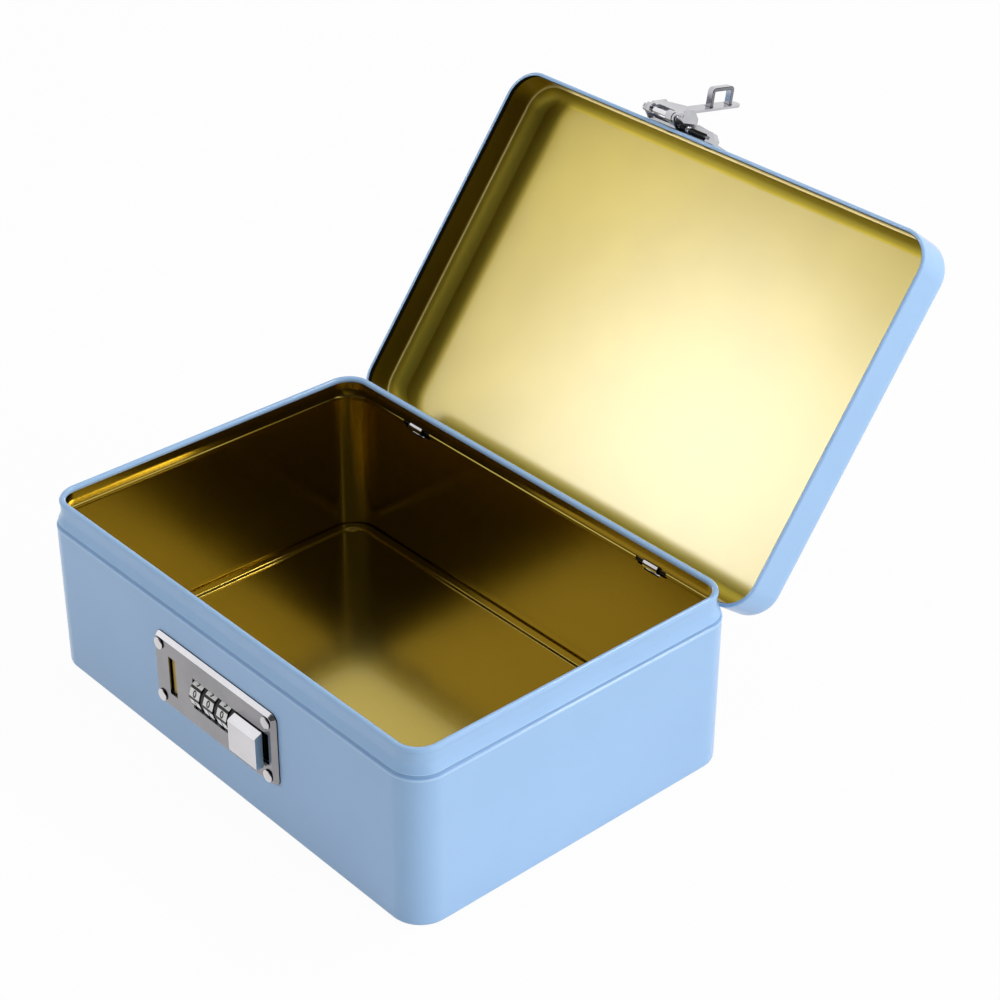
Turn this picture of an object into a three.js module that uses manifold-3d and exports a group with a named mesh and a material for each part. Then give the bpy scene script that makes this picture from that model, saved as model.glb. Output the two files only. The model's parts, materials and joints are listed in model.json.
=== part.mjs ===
// Medication lock box: a hinged tin box with a three-dial lock and a sprung hasp.
// Millimetres, +Z up. The origin is the centre of the underside, and the lock faces -Y.
// The lid and the hasp are drawn closed, then turned open in nested groups.

import * as THREE from 'three';
import { mergeVertices } from 'three/addons/utils/BufferGeometryUtils.js';
import Module from 'manifold-3d';

const wasm = await Module();
wasm.setup();

// Clearances and steps shared by all pieces
const CLEAR = 0.3;
const OVERRUN = 2;
const CORNER_STEPS = 6;
const ROUND_STEPS = 4;
const BEAD_STEPS = 12;
const SHOULDER_STEPS = 7;
const RING_SIDES = 20;
const PIN_SIDES = 16;
const CURL_STEPS = 8;
const CURL_SIDES = 5;

// Body: one drawn sheet with a shoulder, a neck and a curled rim
const BODY_WIDTH = 210;
const BODY_DEPTH = 145;
const BODY_CORNER = 12;
const BODY_SHEET = 0.8;
const FOOT_ROUND = 1.5;
const FLANGE_REACH = 3.6;
const SHOULDER_Z = 60.4;
const SHOULDER_RISE = 5.2;
const NECK_INSET = 1.95;
const RIM_TOP = 71.2;
const RIM_BEAD = 1.2;
const RIM_LEAN = 0.9;

// Bottom panel: a pan let into the body from above, stepped over the flange
const PANEL_SHEET = 0.8;
const PANEL_STEP = 0.3;
const PANEL_HOLD = 0.3;

// Lid, drawn closed
const LID_OVERHANG = 0.45;
const LID_SHEET = 0.7;
const MOUTH_Z = 63.4;
const MOUTH_BEAD = 0.8;
const LID_TOP = 83.2;
const LID_ROUND = 6;
const LEDGE_Z = 76.7;
const LEDGE_DEPTH = 0.6;
const LID_OPEN = THREE.MathUtils.degToRad(127);

// Hinges
const HINGE_SPACING = 129;
const HINGE_PIN = 0.9;
const HINGE_SHEET = 0.7;
const HINGE_Z = 60.8;
const KNUCKLE_HALF = 3.5;
const LOOP_WIDTH = 3.5;
const LEAF_HALF = 7.5;
const LEAF_NECK = 4.4;
const LEAF_HEIGHT = 9;
const LEAF_RIVET_X = 4.7;
const STRAP_DIP = 3.1;

// Rivets: shank, head and head height
const RIVET_SHANK = 0.8;
const RIVET_HEAD = 1.7;
const RIVET_RISE = 0.9;
const RIVET_SET = 0.6;

// Lock plate
const LOCK_X = -0.4;
const LOCK_Z = 34.2;
const PLATE_WIDTH = 69.2;
const PLATE_HEIGHT = 30;
const PLATE_CORNER = 3;
const PLATE_RISE = 2;
const PLATE_SHEET = 0.7;
const PLATE_ROUND = 0.9;
const PLATE_RIVET_IN = 3.9;
const PLATE_RIVET_SHANK = 1.1;
const PLATE_RIVET_HEAD = 1.9;
const SLOT_X = -24.05;
const SLOT_WIDTH = 4.2;
const SLOT_HEIGHT = 16;
const WINDOW_HEIGHT = 12.8;
const WINDOW_MARGIN = 3;

// Dial wheels
const WHEEL_COUNT = 3;
const WHEEL_X = -8.8;
const WHEEL_PITCH = 7.85;
const WHEEL_RADIUS = 6.8;
const WHEEL_FACETS = 10;
const WHEEL_PROUD = 1.8;
const WHEEL_GROOVE = 0.45;
const SPINDLE = 1.5;
const SPINDLE_HEAD = 2.2;
const SPACER_WIDTH = 1.65;
const SPACER_RADIUS = 6.2;
const WASHER_RADIUS = 2.8;

// Lock frame, case and leaf spring inside the wall
const FRAME_SHEET = 0.8;
const FRAME_MARGIN = 1.2;
const EAR_REACH = 4.1;
const EAR_HALF = 4.5;
const CASE_SHEET = 0.8;
const CASE_MARGIN_X = 6.9;
const CASE_PLAY = 0.6;
const LEAF_SPRING_SHEET = 0.4;
const LEAF_FINGER = 3.2;
const LEAF_BAND = 2.2;
const LEAF_REACH = 4;

// Bolt and slide knob
const BOLT_TRAVEL = 3;
const BOLT_SHEET = 0.7;
const BOLT_TONGUE = 6;
const BOLT_LEG = 4.2;
const BOLT_BAR = 2;
const BOLT_BAR_Z = 7.5;
const BOLT_LUG = 0.8;
const LUG_X = 15.2;
const KNOB_LEFT = 12.9;
const KNOB_SIDE = 2.8;
const KNOB_BOTTOM = 25.6;
const KNOB_HEIGHT = 13;
const KNOB_LIP = 1.5;
const KNOB_RISE = 3.6;
const KNOB_EDGE = 0.5;
const KNOB_INSET = 1.6;
const KNOB_PIN = 1.2;
const RETURN_WIRE = 0.3;
const RETURN_RADIUS = 0.8;
const RETURN_CURLS = 13;

// Hasp base and pin, on the front of the closed lid
const HASP_OPEN = THREE.MathUtils.degToRad(153);
const HASP_PIN_OUT = 4.1;
const HASP_PIN_Z = 61.4;
const HASP_PIN = 1;
const HASP_PIN_HEAD = 1.7;
const HASP_PIN_CAP = 0.8;
const BASE_LEFT = -35.9;
const BASE_RIGHT = -1.8;
const BASE_SHEET = 0.85;
const BASE_LIFT = 3.2;
const BASE_HEIGHT = 12;
const EAR_WIDTH = 0.9;
const EAR_RADIUS = 1.9;
const EAR_TOP = 1.6;
const EAR_SLOPE = 1;
const EAR_LEFT = -35.3;
const EAR_MIDDLE = -20.7;
const BLOCK_WIDTH = 4;
const BLOCK_RISE = 3.3;
const BLOCK_END = 1.2;
const BLOCK_HEIGHT = 3.4;
const BLOCK_HOLE = 1.5;
const BLOCK_CROWN_SHARE = 0.6;
const HUMP_SHEET = 0.8;
const HUMP_REACH = 4.1;
const HUMP_START_SHARE = 0.6;
const BASE_RIVET_SIDE = 7;
const BASE_RIVET_Z = 10.6;

// Hasp spring, wound on a rod of its own beside the pin
const ROD_OUT = 2.25;
const ROD_LIFT = 3.6;
const ROD_RADIUS = 0.4;
const COIL_RADIUS = 1;
const COIL_WIRE = 0.28;
const COIL_CURLS = 13;

// Hasp flap: "along" runs from the pin to the tip, "in" points to the box when shut
const FLAP_SHEET = 1;
const FLAP_FACE = 1.4;
const FLAP_RIGHT = -21;
const FLAP_WIDTH = 15.8;
const FLAP_NEAR = 3.6;
const FLAP_CHEEK = 0.9;
const FLAP_BACK = 4.3;
const FLAP_SHOULDER = 8.5;
const FLAP_NECK = 13;
const FLAP_LENGTH = 38;
const TONGUE_WIDTH = 5.7;
const FLAP_WINDOW_LEFT = -32.4;
const FLAP_WINDOW_RIGHT = -24.1;
const FLAP_WINDOW_LOW = 3.2;
const FLAP_WINDOW_HIGH = 0.2;
const BARREL_WALL = 0.8;
const BARREL_STRAP = 0.4;
const CHEEK_LENGTH = 10;
const CHEEK_BULGE = 2.4;
const CHEEK_ALONG_SHARES = [0, 0, 0.19, 0.38, 0.73, 1, 0.99];
const CHEEK_IN_SHARES = [0, 0.18, 0.85, 1, 0.88, 0.34, 0];

// Staple: a strip bent to a bridge, its legs let through the tongue
const STAPLE_WIDTH = 2.8;
const STAPLE_STRIP = 1.5;
const STAPLE_SPAN = 12;
const STAPLE_HEIGHT = 7.4;
const STAPLE_ROUND = 1.8;

// Places that follow from the sizes above
const halfX = BODY_WIDTH / 2;
const halfY = BODY_DEPTH / 2;
const front = -halfY;
const plateFace = front - PLATE_RISE;
const windowRight = LOCK_X + PLATE_WIDTH / 2 - WINDOW_MARGIN;
const caseHalfX = PLATE_WIDTH / 2 - CASE_MARGIN_X;
const plateBack = plateFace + PLATE_SHEET;
const frameFront = front + BODY_SHEET + CLEAR;
const frameBack = frameFront + FRAME_SHEET;
const flangeFront = frameBack + CLEAR;
const flangeBack = flangeFront + CASE_SHEET;
const facetReach = WHEEL_RADIUS * Math.cos(Math.PI / WHEEL_FACETS);
const wheelY = plateFace - WHEEL_PROUD + facetReach;
const wheelWidth = WHEEL_PITCH - SPACER_WIDTH - 2 * CLEAR;
const wheelBore = SPINDLE + CLEAR;
const wheelsLeft = WHEEL_X - wheelWidth / 2;
const wheelsRight = WHEEL_X + (WHEEL_COUNT - 1) * WHEEL_PITCH + wheelWidth / 2;
const spindleLeft = wheelsLeft - SPACER_WIDTH - 2 * FRAME_SHEET - 3 * CLEAR;
const leafFront = wheelY + WHEEL_RADIUS + CLEAR;
const caseInner = leafFront + LEAF_SPRING_SHEET + CLEAR;
const windowLeft = wheelsLeft - CLEAR - CLEAR / 2;
const cutHalfZ = WHEEL_RADIUS + CLEAR;
const boltFront = plateBack + CLEAR;
const boltBack = boltFront + BOLT_SHEET;
const hingeHole = HINGE_PIN + CLEAR;
const hingeOuter = hingeHole + HINGE_SHEET;
const hingeY = halfY + LID_OVERHANG + CLEAR - hingeHole;
const leafIn = hingeY + hingeHole;
const leafOut = leafIn + HINGE_SHEET;
const loopStart = KNUCKLE_HALF + CLEAR;
const loopEnd = loopStart + LOOP_WIDTH;
const hingePinHalf = loopEnd + CLEAR;
const leafRivetZ = HINGE_Z + LEAF_NECK + LEAF_HEIGHT / 2;
const lidOuter = -halfY - LID_OVERHANG;
const lidInner = lidOuter + LID_SHEET;
const haspY = front - HASP_PIN_OUT;
const haspHole = HASP_PIN + CLEAR;
const baseIn = lidOuter - CLEAR;
const baseOut = baseIn - BASE_SHEET;
const baseLow = HASP_PIN_Z + BASE_LIFT;
const blockLeft = BASE_RIGHT - BLOCK_WIDTH;
const blockOut = baseOut - BLOCK_RISE;
const rodOut = front - ROD_OUT;
const rodZ = HASP_PIN_Z + ROD_LIFT;
const rodHole = ROD_RADIUS + CLEAR;
const humpZ = rodZ + COIL_RADIUS + COIL_WIRE + CLEAR;
const earMiddleEnd = EAR_MIDDLE + EAR_WIDTH;
const flapLeft = FLAP_RIGHT - FLAP_WIDTH;
const barrelLeft = EAR_LEFT + EAR_WIDTH + CLEAR;
const barrelRight = EAR_MIDDLE - CLEAR;
const tongueLeft = SLOT_X - TONGUE_WIDTH / 2;
const tongueRight = SLOT_X + TONGUE_WIDTH / 2;
const stapleAlong = HASP_PIN_Z - LOCK_Z;

// Turns a geometry into a manifold solid, with its faces pointing out
function solid(geometry) {
  const bare = geometry.clone();
  bare.deleteAttribute('normal');
  bare.deleteAttribute('uv');
  const merged = mergeVertices(bare, 1e-5);
  const points = merged.attributes.position.array;
  const corners = merged.index.array;
  const kept = [];
  let volume = 0;
  const a = new THREE.Vector3();
  const b = new THREE.Vector3();
  const c = new THREE.Vector3();
  for (let i = 0; i < corners.length; i += 3) {
    const [p, q, r] = [corners[i], corners[i + 1], corners[i + 2]];
    if (p === q || q === r || r === p) continue;
    kept.push(p, q, r);
    a.fromArray(points, 3 * p);
    b.fromArray(points, 3 * q);
    c.fromArray(points, 3 * r);
    volume += a.dot(b.cross(c));
  }
  if (volume < 0) {
    for (let i = 0; i < kept.length; i += 3) {
      [kept[i], kept[i + 1]] = [kept[i + 1], kept[i]];
    }
  }
  const mesh = new wasm.Mesh({
    numProp: 3,
    vertProperties: new Float32Array(points),
    triVerts: new Uint32Array(kept),
  });
  return new wasm.Manifold(mesh);
}

function joined(...solids) {
  return solids.reduce((sum, next) => sum.add(next));
}

function cut(base, ...tools) {
  return tools.reduce((rest, tool) => rest.subtract(tool), base);
}

function box(x0, x1, y0, y1, z0, z1) {
  const geometry = new THREE.BoxGeometry(x1 - x0, y1 - y0, z1 - z0);
  geometry.translate((x0 + x1) / 2, (y0 + y1) / 2, (z0 + z1) / 2);
  return solid(geometry);
}

// Local x, y and z of an extrusion or a turned piece go to these axes
const turnedTo = {
  x: new THREE.Matrix4().makeBasis(
    new THREE.Vector3(0, 1, 0), new THREE.Vector3(0, 0, 1), new THREE.Vector3(1, 0, 0)),
  y: new THREE.Matrix4().makeBasis(
    new THREE.Vector3(0, 0, 1), new THREE.Vector3(1, 0, 0), new THREE.Vector3(0, 1, 0)),
};

function extruded(points, depth, holes = []) {
  const shape = new THREE.Shape(points.map(([u, v]) => new THREE.Vector2(u, v)));
  for (const hole of holes) {
    shape.holes.push(new THREE.Path(hole.map(([u, v]) => new THREE.Vector2(u, v))));
  }
  return new THREE.ExtrudeGeometry(shape, { depth, bevelEnabled: false, steps: 1 });
}

// A prism along X from points [y, z]
function prismX(points, x0, x1, holes = []) {
  const geometry = extruded(points, x1 - x0, holes);
  geometry.applyMatrix4(turnedTo.x);
  geometry.translate(x0, 0, 0);
  return solid(geometry);
}

// A prism along Y from points [x, z]
function prismY(points, y0, y1) {
  const geometry = extruded(points.map(([x, z]) => [z, x]), y1 - y0);
  geometry.applyMatrix4(turnedTo.y);
  geometry.translate(0, y0, 0);
  return solid(geometry);
}

// A prism along Z from points [x, y]
function prismZ(points, z0, z1) {
  const geometry = extruded(points, z1 - z0);
  geometry.translate(0, 0, z0);
  return solid(geometry);
}

// A turned piece on the X axis from a profile of [radius, x]
function turnedX(profile, y, z, sides = PIN_SIDES) {
  const geometry = new THREE.LatheGeometry(profile.map(([r, h]) => new THREE.Vector2(r, h)), sides);
  geometry.applyMatrix4(turnedTo.y);
  geometry.translate(0, y, z);
  return solid(geometry);
}

// A turned piece along Y from a profile of [radius, y]
function turnedY(profile, x, z, sides = PIN_SIDES) {
  const geometry = new THREE.LatheGeometry(profile.map(([r, h]) => new THREE.Vector2(r, h)), sides);
  geometry.translate(x, 0, z);
  return solid(geometry);
}

function rodX(radius, x0, x1, y, z, sides) {
  return turnedX([[0, x0], [radius, x0], [radius, x1], [0, x1]], y, z, sides);
}

function rodY(radius, y0, y1, x, z, sides) {
  return turnedY([[0, y0], [radius, y0], [radius, y1], [0, y1]], x, z, sides);
}

// Points of an arc about [u, v]
function arc(u, v, ru, rv, from, to, steps) {
  const points = [];
  for (let i = 0; i <= steps; i += 1) {
    const angle = from + (to - from) * (i / steps);
    points.push([u + ru * Math.cos(angle), v + rv * Math.sin(angle)]);
  }
  return points;
}

const QUARTER = Math.PI / 2;

function roundedOutline(halfU, halfV, radius, steps = CORNER_STEPS) {
  const u = halfU - radius;
  const v = halfV - radius;
  return [
    ...arc(u, v, radius, radius, 0, QUARTER, steps),
    ...arc(-u, v, radius, radius, QUARTER, 2 * QUARTER, steps),
    ...arc(-u, -v, radius, radius, 2 * QUARTER, 3 * QUARTER, steps),
    ...arc(u, -v, radius, radius, 3 * QUARTER, 4 * QUARTER, steps),
  ];
}

// Joins rounded rectangles, one for each [inset, height] of a profile.
// A closed profile makes a ring; an open one is capped at both ends.
function lofted(profile, halfU, halfV, corner, closed, place) {
  const points = [];
  const faces = [];
  const rings = profile.map(([inset, height]) =>
    roundedOutline(halfU - inset, halfV - inset, corner - inset).map(([u, v]) => place(u, v, height)));
  const count = rings[0].length;
  rings.forEach((ring) => ring.forEach((point) => points.push(...point)));
  const last = closed ? rings.length : rings.length - 1;
  for (let i = 0; i < last; i += 1) {
    const j = (i + 1) % rings.length;
    for (let k = 0; k < count; k += 1) {
      const n = (k + 1) % count;
      faces.push(i * count + k, i * count + n, j * count + n);
      faces.push(i * count + k, j * count + n, j * count + k);
    }
  }
  if (!closed) {
    [0, rings.length - 1].forEach((i, end) => {
      const centre = points.length / 3;
      points.push(...place(0, 0, profile[i][1]));
      for (let k = 0; k < count; k += 1) {
        const n = (k + 1) % count;
        const pair = end === 0 ? [i * count + n, i * count + k] : [i * count + k, i * count + n];
        faces.push(centre, ...pair);
      }
    });
  }
  const geometry = new THREE.BufferGeometry();
  geometry.setAttribute('position', new THREE.Float32BufferAttribute(points, 3));
  geometry.setIndex(faces);
  return solid(geometry);
}

const upright = (x, y, z) => [x, y, z];

// An unbroken round wire along X, wound about [y, z], with straight ends
function coil(name, x0, x1, y, z, radius, wire, curls) {
  const straight = 2 * wire;
  const run = x1 - x0 - 2 * straight;
  const path = [[x0, 0]];
  for (let i = 0; i <= curls * CURL_STEPS; i += 1) {
    path.push([x0 + straight + run * (i / (curls * CURL_STEPS)), (2 * Math.PI * i) / CURL_STEPS]);
  }
  path.push([x1, 2 * Math.PI * curls]);
  const centres = path.map(([x, angle]) =>
    new THREE.Vector3(x, y + radius * Math.sin(angle), z + radius * Math.cos(angle)));
  const points = [];
  const faces = [];
  centres.forEach((centre, i) => {
    const atEnd = i === 0 || i === centres.length - 1;
    const ahead = atEnd ? new THREE.Vector3(1, 0, 0)
      : centres[i + 1].clone().sub(centres[i - 1]).normalize();
    const outward = new THREE.Vector3(0, Math.sin(path[i][1]), Math.cos(path[i][1]));
    const side = ahead.clone().cross(outward).normalize();
    const rise = side.clone().cross(ahead);
    for (let k = 0; k < CURL_SIDES; k += 1) {
      const angle = (2 * Math.PI * k) / CURL_SIDES;
      const point = centre.clone()
        .addScaledVector(rise, wire * Math.cos(angle))
        .addScaledVector(side, wire * Math.sin(angle));
      points.push(point.x, point.y, point.z);
    }
  });
  for (let i = 0; i < centres.length - 1; i += 1) {
    for (let k = 0; k < CURL_SIDES; k += 1) {
      const n = (k + 1) % CURL_SIDES;
      const low = i * CURL_SIDES;
      const high = low + CURL_SIDES;
      faces.push(low + k, high + n, low + n);
      faces.push(low + k, high + k, high + n);
    }
  }
  const end = (centres.length - 1) * CURL_SIDES;
  for (let k = 1; k < CURL_SIDES - 1; k += 1) {
    faces.push(0, k, k + 1);
    faces.push(end, end + k + 1, end + k);
  }
  const geometry = new THREE.BufferGeometry();
  geometry.setAttribute('position', new THREE.Float32BufferAttribute(points, 3));
  geometry.setIndex(faces);
  console.log(`${name}: least gap between curls ${leastGap(centres, wire).toFixed(2)} mm`);
  return solid(geometry);
}

// The least distance between points half a curl or more apart, less the wire
function leastGap(centres, wire) {
  const apart = CURL_STEPS / 2;
  let least = Infinity;
  for (let i = 0; i < centres.length; i += 1) {
    for (let j = i + apart; j < centres.length; j += 1) {
      least = Math.min(least, centres[i].distanceTo(centres[j]));
    }
  }
  return least - 2 * wire;
}

// Materials
const finish = (color, roughness, metalness) =>
  new THREE.MeshStandardMaterial({ color, roughness, metalness });
const paint = finish(0xa9c8e8, 0.35, 0.1);
const lacquer = finish(0xb99a3c, 0.25, 0.7);
const chrome = finish(0xd6d8dc, 0.12, 1);
const steel = finish(0x9a9ca0, 0.35, 1);
const blackSteel = finish(0x1c1c1e, 0.4, 0.6);
const passivated = finish(0x9c8434, 0.4, 0.8);
const ivory = finish(0xe6e4dc, 0.4, 0.1);
const blackPlastic = finish(0x151517, 0.5, 0);

const model = new THREE.Group();
const lid = new THREE.Group();
const hasp = new THREE.Group();

function named(group, name, shape, material) {
  const { vertProperties, triVerts } = shape.getMesh();
  const geometry = new THREE.BufferGeometry();
  geometry.setAttribute('position', new THREE.BufferAttribute(vertProperties, 3));
  geometry.setIndex(new THREE.BufferAttribute(triVerts, 1));
  const mesh = new THREE.Mesh(geometry, material);
  mesh.name = name;
  group.add(mesh);
}

// Hinge places along X
const hinges = { left: -HINGE_SPACING / 2, right: HINGE_SPACING / 2 };

// Rivet along Y: outer head at outer, set head at inner, with direction out
function rivet(outer, inner, x, z, shank, head) {
  const out = Math.sign(outer - inner);
  return turnedY([
    [0, outer + out * RIVET_RISE],
    [head * Math.cos(Math.PI / 4), outer + out * RIVET_RISE * Math.sin(Math.PI / 4)],
    [head, outer],
    [shank, outer],
    [shank, inner],
    [head, inner],
    [head, inner - out * RIVET_SET],
    [0, inner - out * RIVET_SET],
  ], x, z);
}

const rivetSide = PLATE_WIDTH / 2 - PLATE_RIVET_IN;
const rivetEnd = PLATE_HEIGHT / 2 - PLATE_RIVET_IN;
const rivetX = [-rivetSide, rivetSide];
const rivetZ = [-rivetEnd, rivetEnd];
const platePlaces = rivetX.flatMap((dx) => rivetZ.map((dz) => [LOCK_X + dx, LOCK_Z + dz]));
const plateHoles = (y0, y1) =>
  platePlaces.map(([x, z]) => rodY(PLATE_RIVET_SHANK + CLEAR, y0, y1, x, z));

// Body shell
function bodyShell() {
  const shoulder = (offset, rising) => {
    const points = [];
    for (let i = 0; i <= SHOULDER_STEPS; i += 1) {
      const t = rising ? i / SHOULDER_STEPS : 1 - i / SHOULDER_STEPS;
      const ease = t * t * (3 - 2 * t);
      points.push([NECK_INSET * ease + offset, SHOULDER_Z + SHOULDER_RISE * t]);
    }
    return points;
  };
  const beadInset = NECK_INSET + RIM_LEAN;
  const beadFrom = Math.acos(RIM_LEAN / RIM_BEAD) - Math.PI;
  const beadTo = -2 * Math.PI - Math.acos((BODY_SHEET - RIM_LEAN) / RIM_BEAD);
  const footIn = FOOT_ROUND - BODY_SHEET;
  const profile = [
    ...arc(FOOT_ROUND, FOOT_ROUND, FOOT_ROUND, FOOT_ROUND, -QUARTER, -Math.PI, ROUND_STEPS),
    ...shoulder(0, true),
    ...arc(beadInset, RIM_TOP - RIM_BEAD, RIM_BEAD, RIM_BEAD, beadFrom, beadTo, BEAD_STEPS),
    ...shoulder(BODY_SHEET, false),
    ...arc(FOOT_ROUND, FOOT_ROUND, footIn, footIn, -Math.PI, -QUARTER, ROUND_STEPS),
    [FLANGE_REACH, BODY_SHEET],
    [FLANGE_REACH, 0],
  ];
  const shell = lofted(profile, halfX, halfY, BODY_CORNER, true, upright);
  const inside = front - OVERRUN;
  const outside = front + BODY_SHEET + OVERRUN;
  const stapleHalf = SLOT_HEIGHT / 2 + CLEAR;
  const reveal = (PLATE_RISE + BODY_SHEET) + CLEAR;
  const cuts = [
    box(spindleLeft - CLEAR, windowRight, inside, outside, LOCK_Z - cutHalfZ, LOCK_Z + cutHalfZ),
    box(SLOT_X - SLOT_WIDTH / 2 - reveal, SLOT_X + SLOT_WIDTH / 2 + CLEAR, inside, outside,
      LOCK_Z - stapleHalf, LOCK_Z + stapleHalf),
    ...plateHoles(inside, outside),
  ];
  const wallIn = halfY - BODY_SHEET - OVERRUN;
  const wallOut = halfY + OVERRUN;
  const leg = hingeY - (halfY - BODY_SHEET);
  const loop = [
    ...arc(0, 0, hingeOuter, hingeOuter, -QUARTER, QUARTER, PIN_SIDES / 2),
    [-leg, hingeOuter],
    [-leg, hingeHole],
    ...arc(0, 0, hingeHole, hingeHole, QUARTER, -QUARTER, PIN_SIDES / 2),
    [-leg, -hingeHole],
    [-leg, -hingeOuter],
  ].map(([y, z]) => [hingeY + y, HINGE_Z + z]);
  const loops = [];
  for (const x of Object.values(hinges)) {
    const slotHalf = hingePinHalf + CLEAR;
    const knuckleHalf = KNUCKLE_HALF + CLEAR;
    cuts.push(box(x - slotHalf, x + slotHalf, wallIn, wallOut, HINGE_Z - hingeHole, HINGE_Z + hingeHole));
    cuts.push(box(x - knuckleHalf, x + knuckleHalf, wallIn, wallOut,
      HINGE_Z - STRAP_DIP, HINGE_Z + hingeOuter + CLEAR));
    loops.push(prismX(loop, x - loopEnd, x - loopStart));
    loops.push(prismX(loop, x + loopStart, x + loopEnd));
  }
  return joined(cut(shell, ...cuts), ...loops);
}

// Bottom panel
function bottomPanel() {
  const brimLow = BODY_SHEET + CLEAR;
  const brimTop = brimLow + PANEL_SHEET;
  const side = FLANGE_REACH + CLEAR;
  const edge = BODY_SHEET + PANEL_HOLD + CLEAR;
  return lofted([
    [side + PANEL_STEP, 0],
    [side, brimLow],
    [edge, brimLow],
    [edge, brimTop],
    [side + PANEL_SHEET, brimTop],
    [side + PANEL_SHEET + PANEL_STEP, PANEL_SHEET],
  ], halfX, halfY, BODY_CORNER, false, upright);
}

// Lid shell, with the holes of its rivets
function lidShell() {
  const outer = -LID_OVERHANG;
  const inner = outer + LID_SHEET;
  const curve = LID_ROUND + outer;
  const springLine = LID_TOP - LID_ROUND;
  const shelf = inner + LEDGE_DEPTH;
  const beadInset = outer + MOUTH_BEAD;
  const beadFrom = Math.acos((inner - beadInset) / MOUTH_BEAD);
  const profile = [
    ...arc(curve, springLine, curve - shelf, LID_ROUND - LID_SHEET, QUARTER, Math.PI, ROUND_STEPS),
    [shelf, LEDGE_Z],
    [inner, LEDGE_Z],
    ...arc(beadInset, MOUTH_Z + MOUTH_BEAD, MOUTH_BEAD, MOUTH_BEAD, beadFrom, -Math.PI, BEAD_STEPS),
    ...arc(curve, springLine, LID_ROUND, LID_ROUND, Math.PI, QUARTER, ROUND_STEPS + 2),
  ];
  const shell = lofted(profile, halfX, halfY, BODY_CORNER, false, upright);
  const holes = [];
  for (const [x, z] of leafRivetPlaces()) {
    holes.push(rodY(RIVET_SHANK + CLEAR, halfY - OVERRUN, halfY + OVERRUN, x, z));
  }
  for (const [x, z] of baseRivetPlaces()) {
    holes.push(rodY(RIVET_SHANK + CLEAR, front - OVERRUN, front + OVERRUN, x, z));
  }
  return cut(shell, ...holes);
}

function leafRivetPlaces() {
  return Object.values(hinges).flatMap((x) =>
    [-LEAF_RIVET_X, LEAF_RIVET_X].map((dx) => [x + dx, leafRivetZ]));
}

function baseRivetPlaces() {
  return [BASE_LEFT + BASE_RIVET_SIDE, BASE_RIGHT - BASE_RIVET_SIDE]
    .map((x) => [x, HASP_PIN_Z + BASE_RIVET_Z]);
}

// Hinge leaf: a knuckle round the pin, with a plate up the back of the lid
function hingeLeaf(x) {
  const hole = arc(hingeY, HINGE_Z, hingeHole, hingeHole, 0, -2 * Math.PI, RING_SIDES).slice(1);
  const ring = arc(hingeY, HINGE_Z, hingeOuter, hingeOuter, 0, 2 * Math.PI, RING_SIDES).slice(1);
  const plateLow = HINGE_Z + LEAF_NECK;
  const leaf = joined(
    prismX(ring, x - KNUCKLE_HALF, x + KNUCKLE_HALF, [hole]),
    box(x - KNUCKLE_HALF, x + KNUCKLE_HALF, leafIn, leafOut, HINGE_Z, plateLow + HINGE_SHEET),
    box(x - LEAF_HALF, x + LEAF_HALF, leafIn, leafOut, plateLow, plateLow + LEAF_HEIGHT),
  );
  return cut(leaf, ...[-LEAF_RIVET_X, LEAF_RIVET_X].map((dx) =>
    rodY(RIVET_SHANK + CLEAR, leafIn - OVERRUN, leafOut + OVERRUN, x + dx, leafRivetZ)));
}

// Lock plate
function lockPlate() {
  const back = front - CLEAR;
  const place = (u, v, y) => [LOCK_X + u, y, LOCK_Z + v];
  const roundY = plateFace + PLATE_ROUND;
  const roundIn = PLATE_ROUND - PLATE_SHEET;
  const pan = lofted([
    ...arc(PLATE_ROUND, roundY, roundIn, roundIn, -QUARTER, -Math.PI, 2),
    [PLATE_SHEET, back],
    [0, back],
    ...arc(PLATE_ROUND, roundY, PLATE_ROUND, PLATE_ROUND, -Math.PI, -QUARTER, ROUND_STEPS),
  ], PLATE_WIDTH / 2, PLATE_HEIGHT / 2, PLATE_CORNER, false, place);
  const [y0, y1] = [plateFace - OVERRUN, plateBack + OVERRUN];
  return cut(
    pan,
    box(windowLeft, windowRight, y0, y1, LOCK_Z - WINDOW_HEIGHT / 2, LOCK_Z + WINDOW_HEIGHT / 2),
    box(SLOT_X - SLOT_WIDTH / 2, SLOT_X + SLOT_WIDTH / 2, y0, y1,
      LOCK_Z - SLOT_HEIGHT / 2, LOCK_Z + SLOT_HEIGHT / 2),
    ...plateHoles(y0, y1),
  );
}

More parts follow.
